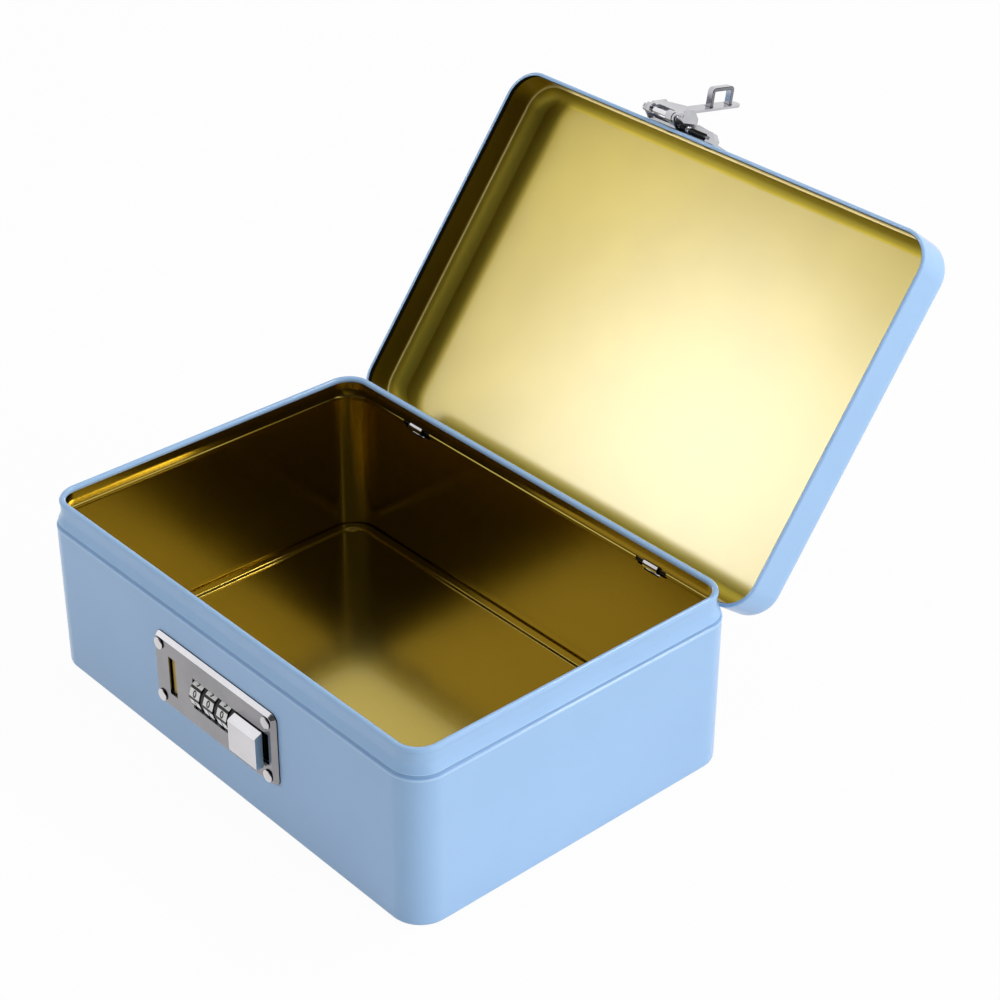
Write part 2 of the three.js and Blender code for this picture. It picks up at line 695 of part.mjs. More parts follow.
// Lock frame: a plate behind the wall, with two ears for the spindle
function lockFrame() {
  const frameHalfX = PLATE_WIDTH / 2 - FRAME_MARGIN;
  const frameHalfZ = PLATE_HEIGHT / 2 - FRAME_MARGIN;
  const plate = box(LOCK_X - frameHalfX, LOCK_X + frameHalfX, frameFront, frameBack,
    LOCK_Z - frameHalfZ, LOCK_Z + frameHalfZ);
  const earLeft = wheelsLeft - CLEAR - SPACER_WIDTH - CLEAR;
  const earRight = wheelsRight + CLEAR + SPACER_WIDTH + CLEAR;
  const [y0, y1] = [frameFront - OVERRUN, frameBack + OVERRUN];
  const headHole = SPINDLE_HEAD + CLEAR;
  const open = cut(
    plate,
    box(earLeft, windowRight, y0, y1, LOCK_Z - cutHalfZ, LOCK_Z + cutHalfZ),
    box(spindleLeft - CLEAR, earLeft, y0, y1, LOCK_Z - headHole, LOCK_Z + headHole),
    box(SLOT_X - SLOT_WIDTH / 2 - CLEAR, SLOT_X + SLOT_WIDTH / 2 + CLEAR, y0, y1,
      LOCK_Z - SLOT_HEIGHT / 2 - CLEAR, LOCK_Z + SLOT_HEIGHT / 2 + CLEAR),
    ...plateHoles(y0, y1),
  );
  const earBack = frameFront + EAR_REACH + FRAME_SHEET;
  const foot = cutHalfZ + FRAME_SHEET;
  const ears = joined(
    box(earLeft - FRAME_SHEET, earLeft, frameFront, earBack, LOCK_Z - foot, springTop),
    box(earRight, earRight + FRAME_SHEET, frameFront, frameBack, LOCK_Z - foot, LOCK_Z + foot),
    box(earRight, earRight + FRAME_SHEET, frameFront, earBack, LOCK_Z - EAR_HALF, LOCK_Z + EAR_HALF),
  );
  const bore = rodX(wheelBore, earLeft - OVERRUN, earRight + OVERRUN, wheelY, LOCK_Z);
  return cut(joined(open, ears), bore);
}

// The bolt's return spring runs over the wheels, from the left ear to the bolt's lug
const springZ = LOCK_Z + WHEEL_RADIUS + CLEAR + RETURN_RADIUS + 2 * RETURN_WIRE;
const springTop = springZ + RETURN_RADIUS + RETURN_WIRE;
const caseHalfZ = springTop - LOCK_Z + CASE_PLAY;
const springY = frameFront + EAR_REACH - RETURN_RADIUS;

// Lock case: a flanged cover over the frame, inside the box
function lockCase() {
  const flangeHalfX = PLATE_WIDTH / 2 - FRAME_MARGIN;
  const flangeHalfZ = PLATE_HEIGHT / 2 - FRAME_MARGIN;
  const outX = caseHalfX + CASE_SHEET;
  const outZ = caseHalfZ + CASE_SHEET;
  const cover = joined(
    box(LOCK_X - flangeHalfX, LOCK_X + flangeHalfX, flangeFront, flangeBack,
      LOCK_Z - flangeHalfZ, LOCK_Z + flangeHalfZ),
    box(LOCK_X - outX, LOCK_X + outX, flangeFront, caseInner + CASE_SHEET, LOCK_Z - outZ, LOCK_Z + outZ),
  );
  return cut(
    cover,
    box(LOCK_X - caseHalfX, LOCK_X + caseHalfX, flangeFront - OVERRUN, caseInner,
      LOCK_Z - caseHalfZ, LOCK_Z + caseHalfZ),
    ...plateHoles(flangeFront - OVERRUN, flangeBack + OVERRUN),
  );
}

// Spindle, spacers and wheels
function wheelSpindle() {
  const left = spindleLeft + FRAME_SHEET;
  const right = LUG_X - 2 * CLEAR;
  return turnedX([
    [0, spindleLeft],
    [SPINDLE_HEAD, spindleLeft],
    [SPINDLE_HEAD, left],
    [SPINDLE, left],
    [SPINDLE, right],
    [0, right],
  ], wheelY, LOCK_Z);
}

function wheelSpacers() {
  const ringAt = (x0, radius) => cut(
    rodX(radius, x0, x0 + SPACER_WIDTH, wheelY, LOCK_Z, RING_SIDES),
    rodX(wheelBore, x0 - OVERRUN, x0 + SPACER_WIDTH + OVERRUN, wheelY, LOCK_Z),
  );
  const rings = [ringAt(wheelsLeft - CLEAR - SPACER_WIDTH, WASHER_RADIUS)];
  for (let i = 0; i < WHEEL_COUNT; i += 1) {
    rings.push(ringAt(wheelsLeft + i * WHEEL_PITCH + wheelWidth + CLEAR, SPACER_RADIUS));
  }
  return rings;
}

function dialWheel(index) {
  const centre = WHEEL_X + index * WHEEL_PITCH;
  const half = Math.PI / WHEEL_FACETS;
  const slit = WHEEL_GROOVE / WHEEL_RADIUS / 2;
  const outline = [];
  for (let i = 0; i < WHEEL_FACETS; i += 1) {
    const corner = 2 * half * i;
    const rim = facetReach / Math.cos(half - slit);
    const root = facetReach - WHEEL_GROOVE;
    for (const [angle, radius] of [[corner - slit, rim], [corner, root], [corner + slit, rim]]) {
      outline.push([wheelY - radius * Math.cos(angle), LOCK_Z + radius * Math.sin(angle)]);
    }
  }
  const bore = arc(wheelY, LOCK_Z, wheelBore, wheelBore, 0, 2 * Math.PI, PIN_SIDES).slice(1);
  return prismX(outline, centre - wheelWidth / 2, centre + wheelWidth / 2, [bore]);
}

function leafSpring() {
  const low = LOCK_Z + WHEEL_RADIUS + CLEAR;
  const [y0, y1] = [leafFront, leafFront + LEAF_SPRING_SHEET];
  const pieces = [box(wheelsLeft, wheelsRight, y0, y1, low, low + LEAF_BAND)];
  for (let i = 0; i < WHEEL_COUNT; i += 1) {
    const x = WHEEL_X + i * WHEEL_PITCH;
    pieces.push(box(x - LEAF_FINGER / 2, x + LEAF_FINGER / 2, y0, y1, LOCK_Z - LEAF_REACH, low + CLEAR));
  }
  return joined(...pieces);
}

// Bolt: a plate in front of the wall, its tongue across the slot at rest
const boltTip = SLOT_X + SLOT_WIDTH / 2 - CLEAR - BOLT_TRAVEL;
const knobRight = windowRight - KNOB_SIDE;
const stemLeft = KNOB_LEFT + KNOB_INSET;
const stemRight = knobRight - KNOB_INSET;
const stemX = (stemLeft + stemRight) / 2;

function lockBolt() {
  const legLeft = boltTip + BOLT_TRAVEL + 2 * CLEAR + CLEAR;
  const legRight = legLeft + BOLT_LEG;
  const barLow = LOCK_Z + BOLT_BAR_Z;
  const barTop = barLow + BOLT_BAR;
  const padLeft = KNOB_LEFT + CLEAR;
  const padRight = knobRight - CLEAR;
  const padLow = LOCK_Z - WINDOW_HEIGHT / 2 + CLEAR;
  const half = BOLT_TONGUE / 2;
  const plate = prismY([
    [boltTip, LOCK_Z - half],
    [legRight, LOCK_Z - half],
    [legRight, barLow],
    [padLeft, barLow],
    [padLeft, padLow],
    [padRight, padLow],
    [padRight, barTop],
    [legLeft, barTop],
    [legLeft, LOCK_Z + half],
    [boltTip, LOCK_Z + half],
  ], boltFront, boltBack);
  const hole = rodY(KNOB_PIN + CLEAR, boltFront - OVERRUN, boltBack + OVERRUN, stemX, LOCK_Z);
  const lugTop = LOCK_Z + cutHalfZ - CLEAR;
  const lugBack = springY + RETURN_RADIUS + RETURN_WIRE;
  const neck = frameBack + 2 * CLEAR;
  const lug = prismX([
    [boltFront, LOCK_Z + BOLT_TONGUE / 2],
    [lugBack, LOCK_Z + BOLT_TONGUE / 2],
    [lugBack, springTop],
    [neck, springTop],
    [neck, lugTop],
    [boltFront, lugTop],
  ], LUG_X, LUG_X + BOLT_LUG);
  return joined(cut(plate, hole), lug);
}

function slideKnob() {
  const back = plateFace - CLEAR;
  const outer = plateFace - KNOB_RISE;
  const top = KNOB_BOTTOM + KNOB_HEIGHT;
  const block = prismX([
    [back, KNOB_BOTTOM],
    [outer + KNOB_EDGE, KNOB_BOTTOM],
    [outer, KNOB_BOTTOM + KNOB_EDGE],
    [outer, top - KNOB_EDGE],
    [outer + KNOB_EDGE, top + KNOB_EDGE / 2],
    [back, top + KNOB_LIP],
  ], KNOB_LEFT, knobRight);
  const stemHalf = WINDOW_HEIGHT / 2 - CLEAR - KNOB_EDGE;
  return joined(
    block,
    box(stemLeft, stemRight, back - CLEAR, plateBack, LOCK_Z - stemHalf, LOCK_Z + stemHalf),
    rodY(KNOB_PIN, plateBack - CLEAR, boltBack + CLEAR / 3, stemX, LOCK_Z),
  );
}

// Hasp base: plate, two ears for the pin, a hump over the coil and a block at the right end
function haspBase() {
  const ear = (top) => [
    [baseIn, baseLow],
    ...arc(haspY, HASP_PIN_Z, EAR_RADIUS, EAR_RADIUS, -QUARTER / 2, -2.5 * QUARTER, PIN_SIDES / 2),
    [haspY + CLEAR, top - EAR_SLOPE],
    [baseOut, top],
    [baseIn, top],
  ];
  const blockTop = baseLow + BLOCK_HEIGHT;
  const body = joined(
    cut(
      box(BASE_LEFT, BASE_RIGHT, baseOut, baseIn, baseLow, baseLow + BASE_HEIGHT),
      box(earMiddleEnd, blockLeft, baseOut - OVERRUN, baseIn + OVERRUN, baseLow - OVERRUN, humpZ),
    ),
    prismX(ear(baseLow + EAR_TOP), EAR_LEFT, EAR_LEFT + EAR_WIDTH),
    prismX(ear(humpZ + HUMP_SHEET), EAR_MIDDLE, earMiddleEnd),
    prismZ([
      [blockLeft, baseIn],
      [blockLeft, blockOut],
      [BASE_RIGHT - BLOCK_WIDTH * BLOCK_CROWN_SHARE, blockOut],
      [BASE_RIGHT, baseOut - BLOCK_END],
      [BASE_RIGHT, baseIn],
    ], baseLow, blockTop),
    prismZ([
      [EAR_MIDDLE + CLEAR, baseIn],
      [EAR_MIDDLE + CLEAR, baseOut - HUMP_REACH * HUMP_START_SHARE],
      [(earMiddleEnd + blockLeft) / 2, baseOut - HUMP_REACH],
      [blockLeft + CLEAR, blockOut],
      [blockLeft + CLEAR, baseIn],
    ], humpZ, humpZ + HUMP_SHEET),
  );
  const pinBore = rodX(haspHole, EAR_LEFT - OVERRUN, earMiddleEnd + OVERRUN, haspY, HASP_PIN_Z);
  const rodBore = rodX(rodHole, EAR_MIDDLE - OVERRUN, blockLeft + BLOCK_HOLE, rodOut, rodZ);
  const holes = baseRivetPlaces().map(([x, z]) =>
    rodY(RIVET_SHANK + CLEAR, baseOut - OVERRUN, baseIn + OVERRUN, x, z));
  return cut(body, pinBore, rodBore, ...holes);
}

// The coil's rod: its left end is held by the middle ear, its right end by the block
function springRod() {
  return rodX(ROD_RADIUS, EAR_MIDDLE, blockLeft + BLOCK_HOLE - CLEAR, rodOut, rodZ);
}

function haspPin() {
  const left = EAR_LEFT - CLEAR;
  const right = earMiddleEnd + CLEAR;
  return turnedX([
    [0, left - HASP_PIN_CAP],
    [HASP_PIN_HEAD, left - HASP_PIN_CAP],
    [HASP_PIN_HEAD, left],
    [HASP_PIN, left],
    [HASP_PIN, right],
    [0, right],
  ], haspY, HASP_PIN_Z);
}

// Flap places, drawn shut: along goes down from the pin, in goes to the box
const flapY = (inward) => haspY + inward;
const flapZ = (along) => HASP_PIN_Z - along;

function haspFlap() {
  const plateIn = flapY(FLAP_FACE);
  const plateOut = flapY(FLAP_FACE - FLAP_SHEET);
  const tip = TONGUE_WIDTH / 2;
  const strapFrom = haspHole + BARREL_STRAP;
  const outline = [
    [barrelLeft, strapFrom],
    [FLAP_WINDOW_LEFT, strapFrom],
    [FLAP_WINDOW_LEFT, FLAP_NEAR],
    [FLAP_WINDOW_RIGHT, FLAP_NEAR],
    [FLAP_WINDOW_RIGHT, strapFrom],
    [barrelRight, strapFrom],
    [barrelRight, FLAP_NEAR],
    [FLAP_RIGHT, FLAP_NEAR],
    [FLAP_RIGHT, FLAP_SHOULDER],
    [tongueRight, FLAP_NECK],
    ...arc(SLOT_X, FLAP_LENGTH - tip, tip, tip, 0, Math.PI, PIN_SIDES / 2),
    [tongueLeft, FLAP_NECK],
    [flapLeft, FLAP_SHOULDER],
    [flapLeft, FLAP_NEAR],
    [barrelLeft, FLAP_NEAR],
  ].map(([x, along]) => [x, flapZ(along)]);
  const cheek = CHEEK_ALONG_SHARES.map((share, i) => [
    flapY(CHEEK_IN_SHARES[i] * (FLAP_BACK + CHEEK_BULGE) - FLAP_BACK),
    flapZ(FLAP_NEAR + share * CHEEK_LENGTH),
  ]);
  const flatCheek = cheek.map(([y, z]) => [Math.min(y, plateIn), z]);
  const barrelHole = arc(haspY, HASP_PIN_Z, haspHole, haspHole, 0, 2 * Math.PI, PIN_SIDES).slice(1);
  const barrelOuter = haspHole + BARREL_WALL;
  const barrel = arc(haspY, HASP_PIN_Z, barrelOuter, barrelOuter, 0, 2 * Math.PI, RING_SIDES).slice(1);
  const wallFar = flapZ(FLAP_NEAR + FLAP_CHEEK);
  const wall = cut(
    box(flapLeft, FLAP_RIGHT, flapY(-FLAP_BACK), plateIn, wallFar, flapZ(FLAP_NEAR)),
    box(FLAP_WINDOW_LEFT, FLAP_WINDOW_RIGHT, flapY(-FLAP_WINDOW_LOW), flapY(-FLAP_WINDOW_HIGH),
      wallFar - OVERRUN, flapZ(FLAP_NEAR) + OVERRUN),
  );
  const legs = stapleLegs(CLEAR).map(([z0, z1]) => box(
    SLOT_X - STAPLE_WIDTH / 2 - CLEAR, SLOT_X + STAPLE_WIDTH / 2 + CLEAR,
    plateOut - OVERRUN, plateIn + OVERRUN, z0, z1));
  return cut(
    joined(
      prismY(outline, plateOut, plateIn),
      prismX(barrel, barrelLeft, FLAP_WINDOW_LEFT, [barrelHole]),
      prismX(barrel, FLAP_WINDOW_RIGHT, barrelRight, [barrelHole]),
      prismX(flatCheek, flapLeft, flapLeft + FLAP_CHEEK),
      prismX(cheek, FLAP_RIGHT - FLAP_CHEEK, FLAP_RIGHT),
      wall,
    ),
    ...legs,
  );
}

// Heights of the staple's two legs, widened by a clearance
function stapleLegs(extra) {
  const middle = flapZ(stapleAlong);
  const outer = STAPLE_SPAN / 2;
  const inner = outer - STAPLE_STRIP;
  return [
    [middle - outer - extra, middle - inner + extra],
    [middle + inner - extra, middle + outer + extra],
  ];
}

function haspStaple() {
  const middle = flapZ(stapleAlong);
  const foot = flapY(FLAP_FACE - FLAP_SHEET);
  const top = flapY(FLAP_FACE + STAPLE_HEIGHT);
  const outer = STAPLE_SPAN / 2;
  const innerRound = STAPLE_ROUND - STAPLE_STRIP;
  const high = middle + outer - STAPLE_ROUND;
  const low = middle - outer + STAPLE_ROUND;
  const bend = top - STAPLE_ROUND;
  return prismX([
    [foot, middle + outer],
    ...arc(bend, high, STAPLE_ROUND, STAPLE_ROUND, QUARTER, 0, ROUND_STEPS),
    ...arc(bend, low, STAPLE_ROUND, STAPLE_ROUND, 0, -QUARTER, ROUND_STEPS),
    [foot, middle - outer],
    [foot, middle - outer + STAPLE_STRIP],
    ...arc(bend, low, innerRound, innerRound, -QUARTER, 0, 2),
    ...arc(bend, high, innerRound, innerRound, 0, QUARTER, 2),
    [foot, middle + outer - STAPLE_STRIP],
  ], SLOT_X - STAPLE_WIDTH / 2, SLOT_X + STAPLE_WIDTH / 2);
}

// Body pieces
named(model, 'body_shell', bodyShell(), paint);
named(model, 'bottom_panel', bottomPanel(), lacquer);
for (const [side, x] of Object.entries(hinges)) {
  const pin = rodX(HINGE_PIN, x - hingePinHalf, x + hingePinHalf, hingeY, HINGE_Z);
  named(model, `hinge_pin_${side}`, pin, steel);
}
named(model, 'lock_plate', lockPlate(), chrome);
platePlaces.forEach(([x, z], i) => {
  named(model, `lock_rivet_${i + 1}`,
    rivet(plateFace - CLEAR, flangeBack + CLEAR, x, z, PLATE_RIVET_SHANK, PLATE_RIVET_HEAD), chrome);
});
named(model, 'lock_frame', lockFrame(), passivated);
named(model, 'lock_case', lockCase(), passivated);
named(model, 'wheel_spindle', wheelSpindle(), steel);
wheelSpacers().forEach((ring, i) => named(model, `wheel_spacer_${i + 1}`, ring, blackPlastic));
named(model, 'detent_spring', leafSpring(), steel);
for (let i = 0; i < WHEEL_COUNT; i += 1) {
  named(model, `dial_wheel_${i + 1}`, dialWheel(i), ivory);
}
named(model, 'lock_bolt', lockBolt(), passivated);
named(model, 'slide_knob', slideKnob(), chrome);
named(model, 'return_spring', coil('return_spring', wheelsLeft - SPACER_WIDTH - CLEAR, LUG_X - CLEAR,
  springY, springZ, RETURN_RADIUS, RETURN_WIRE, RETURN_CURLS), steel);

// Lid pieces, drawn closed and turned open about the hinge pins
lid.position.set(0, hingeY, HINGE_Z);
lid.rotation.x = -LID_OPEN;
const lidPieces = new THREE.Group();
lidPieces.position.set(0, -hingeY, -HINGE_Z);
lid.add(lidPieces);
model.add(lid);
named(lidPieces, 'lid_shell', lidShell(), paint);
for (const [side, x] of Object.entries(hinges)) {
  named(lidPieces, `hinge_leaf_${side}`, hingeLeaf(x), lacquer);
}
leafRivetPlaces().forEach(([x, z], i) => {
  named(lidPieces, `hinge_rivet_${i + 1}`,
    rivet(leafOut + CLEAR, -lidInner - CLEAR, x, z, RIVET_SHANK, RIVET_HEAD), steel);
});
named(lidPieces, 'hasp_base', haspBase(), chrome);
baseRivetPlaces().forEach(([x, z], i) => {
  named(lidPieces, `hasp_rivet_${i + 1}`,
    rivet(baseOut - CLEAR, lidInner + CLEAR, x, z, RIVET_SHANK, RIVET_HEAD), steel);
});
named(lidPieces, 'hasp_pin', haspPin(), steel);
named(lidPieces, 'spring_rod', springRod(), steel);
named(lidPieces, 'hasp_spring', coil('hasp_spring', earMiddleEnd + CLEAR, blockLeft - CLEAR,
  rodOut, rodZ, COIL_RADIUS, COIL_WIRE, COIL_CURLS), blackSteel);

// Hasp pieces, drawn shut and turned back about the hasp pin
hasp.position.set(0, haspY, HASP_PIN_Z);
hasp.rotation.x = -HASP_OPEN;
const haspPieces = new THREE.Group();
haspPieces.position.set(0, -haspY, -HASP_PIN_Z);
hasp.add(haspPieces);
lidPieces.add(hasp);
named(haspPieces, 'hasp_flap', haspFlap(), chrome);
named(haspPieces, 'hasp_staple', haspStaple(), chrome);

export default model;
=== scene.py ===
import math

import bmesh
import bpy
from mathutils import Matrix, Vector
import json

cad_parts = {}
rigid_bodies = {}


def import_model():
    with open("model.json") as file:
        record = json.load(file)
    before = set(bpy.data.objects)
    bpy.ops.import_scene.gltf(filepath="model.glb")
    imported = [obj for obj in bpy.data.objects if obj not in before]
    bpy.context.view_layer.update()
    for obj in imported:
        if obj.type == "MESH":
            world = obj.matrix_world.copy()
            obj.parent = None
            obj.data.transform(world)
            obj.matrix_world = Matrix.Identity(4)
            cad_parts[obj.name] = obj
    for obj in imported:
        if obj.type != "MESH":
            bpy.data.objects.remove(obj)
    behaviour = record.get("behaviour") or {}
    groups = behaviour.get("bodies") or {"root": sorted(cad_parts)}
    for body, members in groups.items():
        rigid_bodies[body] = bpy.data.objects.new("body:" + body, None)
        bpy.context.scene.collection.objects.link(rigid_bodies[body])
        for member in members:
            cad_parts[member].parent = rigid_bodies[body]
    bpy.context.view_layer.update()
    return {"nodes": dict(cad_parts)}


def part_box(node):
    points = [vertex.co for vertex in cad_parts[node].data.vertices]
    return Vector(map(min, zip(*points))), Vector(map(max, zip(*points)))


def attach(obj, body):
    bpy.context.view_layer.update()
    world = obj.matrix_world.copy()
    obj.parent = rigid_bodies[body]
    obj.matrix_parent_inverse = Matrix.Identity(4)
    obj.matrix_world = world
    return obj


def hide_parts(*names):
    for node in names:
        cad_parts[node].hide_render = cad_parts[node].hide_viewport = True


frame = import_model()

MM = 0.001
TAU = 2 * math.pi
QUARTER = math.pi / 2

# ---------------------------------------------------------------- sizes in mm, as the CAD has them
HALF_X, HALF_Y = 105.0, 72.5        # half of the body's length and depth
CORNER, SHEET = 12.0, 0.8           # radius of its upright corners, and its sheet
FOOT, FLANGE = 1.5, 3.6             # radius of the wall's foot, and the flange under the panel
NECK, RIM_TOP = 1.95, 71.2          # inset of the neck, and the top of the rim
BEAD, LEAN = 1.2, 0.9               # radius of the rim's curl, and its centre's inset from the neck
PANEL_GAP = 0.3                     # clearance of the bottom panel
PANEL_BEND, PANEL_ROUND = 0.3, 0.35     # radii of its small bends and of its top edge

LID_OPEN = -127                     # degrees from shut
LID_OUT, LID_SHEET = 0.45, 0.7      # how far the skirt stands outside the body, and its sheet
LID_TOP, LID_ROUND = 83.2, 6.0      # top of the shut lid, and the radius of its edge
MOUTH_Z, MOUTH_BEAD = 63.4, 0.8     # mouth of the shut lid, and the radius of its bead
LEDGE_Z, LEDGE = 76.7, 0.6          # height and width of the ledge inside it

HINGE_X, HINGE_Y, HINGE_Z = 64.5, 72.05, 60.8
HINGE_HOLE, HINGE_OUTER = 1.2, 1.9  # radii of the straps round the pins
STRAP_FROM, STRAP_TO = 3.8, 7.3     # the straps' ends, from the hinge's middle
REAR_SLOT, REAR_SLOT_RISE = 7.6, 1.2    # half the length and height of the slot round a hinge
REAR_OPENING, REAR_DROP, REAR_RISE = 3.8, 3.1, 2.2  # its wider middle: half length, down and up

LOCK_X, LOCK_Z = -0.4, 34.2         # middle of the lock plate
PLATE_FACE = -74.5
PLATE_HALF_X, PLATE_HALF_Z, PLATE_CORNER = 34.6, 15, 3
SLOT_X, SLOT_HALF, SLOT_RISE = -24.05, 2.1, 8   # the staple's slot in the plate
WINDOW_LEFT, WINDOW_RIGHT, WINDOW_RISE = -12.0, 31.2, 6.4
RIVET_X, RIVET_Z, RIVET_HOLE = 30.7, 11.1, 1.25     # the plate's rivets, from its middle
WALL_WINDOW_LEFT, WALL_WINDOW_RISE = -16.35, 7.1    # the wheels' opening in the front wall
WALL_SLOT_LEFT, WALL_SLOT_GAP, WALL_SLOT_RISE = 3.1, 0.3, 8.3   # the slot's, past the plate's
WHEELS_X, WHEEL_Y = (-8.8, -0.95, 6.9), -69.833
FACET, FACETS = 6.467, 10           # distance of the wheels' facets from the spindle

# ---------------------------------------------------------------- sizes in mm of the scene alone
# The shoulder from the wall to the neck: a lip, a groove, a second edge and a slope
SHOULDER = [(0, 59.3), (0, 59.6), (-0.08, 59.85), (-0.06, 60.1), (0.1, 60.28), (0.45, 60.4),
            (0.72, 60.52), (0.86, 60.75), (0.88, 61.15), (0.82, 61.5), (0.64, 61.72),
            (0.56, 61.9), (0.62, 62.1), (0.78, 62.4), (1.02, 62.95), (1.32, 63.65),
            (1.62, 64.45), (1.85, 65.2), (NECK, 65.9)]
LIPS, GROOVE = (1, 2, 3, 10, 11), (5, 6, 7, 8, 9)   # its segments with a painted highlight on the lips and painted shade in the groove
FAR_GLEAM, NEAR_GLEAM = (7, 8), (15, 16)            # the rim's segments with a painted highlight, by side
HEM_DROP = 0.25                     # gap under the rim's curl, inside
LID_HEM_SHADE = 3.1                       # height of the hem painted as shade above the lid's mouth, inside
LEDGE_LIP, LEDGE_BEVEL = 0.25, (0.1, 0.07)
DIGIT_SIZE, DIGIT_DEPTH, DIGIT_WEIGHT, DIGIT_LIFT = 3.7, 0.02, 0.11, 0.01
BAR_LENGTH, BAR_WIDTH, BAR_IN, BAR_OUT = 2.8, 0.5, 6.0, 6.75    # halves, then distances out
WHEEL_HUB = 5                       # the wheels are black nearer to the spindle
SHADE_FROM_X = -19                    # painted shade: the lock's inside is black to the right of this X
TONGUE_TO, TONGUE_CORE, TONGUE_RISE = 3.2, 1, 8.6   # the part of the bolt that is made taller
OVERRUN = 2                         # how far cutters reach past a wall

SMOOTH = 35                         # degrees between faces from which an edge is sharp


def turn_x(y, z, degrees):
    """A turn about the X line through y and z, in mm."""
    place = Matrix.Translation(Vector((0, y, z)) * MM)
    return place @ Matrix.Rotation(math.radians(degrees), 4, "X") @ place.inverted()


LID = turn_x(HINGE_Y, HINGE_Z, LID_OPEN)


# ---------------------------------------------------------------- camera
CAMERA_PLACE = (0.5614, -0.4469, 0.5335)
AZIMUTH, ELEVATION, ROLL = 48.094, 31.873, 0.315
LENS, SENSOR, NEAREST = 87.1, 36, 0.01


def set_camera():
    camera = bpy.data.cameras.new("camera")
    camera.lens = LENS
    camera.sensor_width = SENSOR
    camera.clip_start = NEAREST
    holder = bpy.data.objects.new("camera", camera)
    bpy.context.scene.collection.objects.link(holder)
    az, el, roll = math.radians(AZIMUTH), math.radians(ELEVATION), math.radians(ROLL)
    back = Vector((math.sin(az) * math.cos(el), -math.cos(az) * math.cos(el), math.sin(el)))
    level = Vector((math.cos(az), math.sin(az), 0))
    upright = back.cross(level)
    right = level * math.cos(roll) + upright * math.sin(roll)
    up = upright * math.cos(roll) - level * math.sin(roll)
    turned = Matrix((right, up, back)).transposed().to_4x4()
    holder.matrix_world = Matrix.Translation(CAMERA_PLACE) @ turned
    bpy.context.scene.camera = holder


set_camera()


# ---------------------------------------------------------------- materials
NOISE_ROUGHNESS, RAMP_FROM, RAMP_TO = 0.55, 0.3, 0.7


class Nodes:
    """A node material under construction."""

    def __init__(self, name):
        self.material = bpy.data.materials.new(name)
        self.material.use_nodes = True
        self.tree = self.material.node_tree
        self.shader = self.tree.nodes["Principled BSDF"]
        self.coords = self.add("ShaderNodeTexCoord").outputs["Object"]

    def add(self, kind):
        return self.tree.nodes.new(kind)

    def link(self, start, end):
        self.tree.links.new(start, end)

    def noise(self, scale, detail, stretch=(1, 1, 1)):
        mapping = self.add("ShaderNodeMapping")
        mapping.inputs["Scale"].default_value = stretch
        self.link(self.coords, mapping.inputs["Vector"])
        noise = self.add("ShaderNodeTexNoise")
        noise.inputs["Scale"].default_value = scale
        noise.inputs["Detail"].default_value = detail
        noise.inputs["Roughness"].default_value = NOISE_ROUGHNESS
        self.link(mapping.outputs["Vector"], noise.inputs["Vector"])
        return noise.outputs["Fac"]

    def colour(self, factor, low, high):
        """Shades the surface between two colours."""
        ramp = self.add("ShaderNodeValToRGB")
        ramp.color_ramp.elements[0].position = RAMP_FROM
        ramp.color_ramp.elements[0].color = low
        ramp.color_ramp.elements[1].position = RAMP_TO
        ramp.color_ramp.elements[1].color = high
        self.link(factor, ramp.inputs["Fac"])
        self.link(ramp.outputs["Color"], self.shader.inputs["Base Color"])

    def rough(self, factor, low, high):
        """Spreads the roughness between two values."""
        span = self.add("ShaderNodeMapRange")
        span.inputs["To Min"].default_value = low
        span.inputs["To Max"].default_value = high
        self.link(factor, span.inputs["Value"])
        self.link(span.outputs["Result"], self.shader.inputs["Roughness"])

    def bump(self, height, strength, distance):
        bump = self.add("ShaderNodeBump")
        bump.inputs["Strength"].default_value = strength
        bump.inputs["Distance"].default_value = distance
        self.link(height, bump.inputs["Height"])
        return bump

    def relief(self, bump):
        self.link(bump.outputs["Normal"], self.shader.inputs["Normal"])

    def set(self, **values):
        for key, value in values.items():
            self.shader.inputs[key.replace("_", " ")].default_value = value


def rgb(red, green, blue):
    """An sRGB colour from 0 to 255 as linear RGBA."""
    def linear(c):
        c /= 255
        return c / 12.92 if c <= 0.04045 else ((c + 0.055) / 1.055) ** 2.4
    return (linear(red), linear(green), linear(blue), 1)


def enamel(name, low, high):
    """Baked enamel: a faint orange peel under a clear coat."""
    m = Nodes(name)
    m.colour(m.noise(scale=14, detail=4), low, high)
    m.rough(m.noise(scale=60, detail=5), 0.3, 0.42)
    m.relief(m.bump(m.noise(scale=900, detail=2), strength=0.04, distance=0.0002))
    m.set(Metallic=0.0, IOR=1.45, Specular_IOR_Level=0.1, Coat_Weight=0.6, Coat_Roughness=0.07)
    return m.material


def lacquer(name, low, high, rough, wave=0.1, metallic=1.0, **coat):
    """Tinted lacquer over sheet steel: a rolled grain on a slow swell."""
    m = Nodes(name)
    m.colour(m.noise(scale=9, detail=5), low, high)
    m.rough(m.noise(scale=40, detail=6), *rough)
    grain = m.bump(m.noise(scale=700, detail=3, stretch=(1, 0.12, 1)), wave / 2, 0.0002)
    swell = m.bump(m.noise(scale=22, detail=2), wave, 0.0006)
    m.link(swell.outputs["Normal"], grain.inputs["Normal"])
    m.relief(grain)
    m.set(Metallic=metallic, **coat)
    return m.material


def metal(name, low, high, rough, grain=(1, 1, 1), bite=0.04):
    """Plated or blackened metal: fine scratches along its grain."""
    m = Nodes(name)
    m.colour(m.noise(scale=60, detail=4), low, high)
    m.rough(m.noise(scale=150, detail=5, stretch=grain), *rough)
    m.relief(m.bump(m.noise(scale=1400, detail=3, stretch=grain), bite, 0.0001))
    m.set(Metallic=1.0)
    return m.material


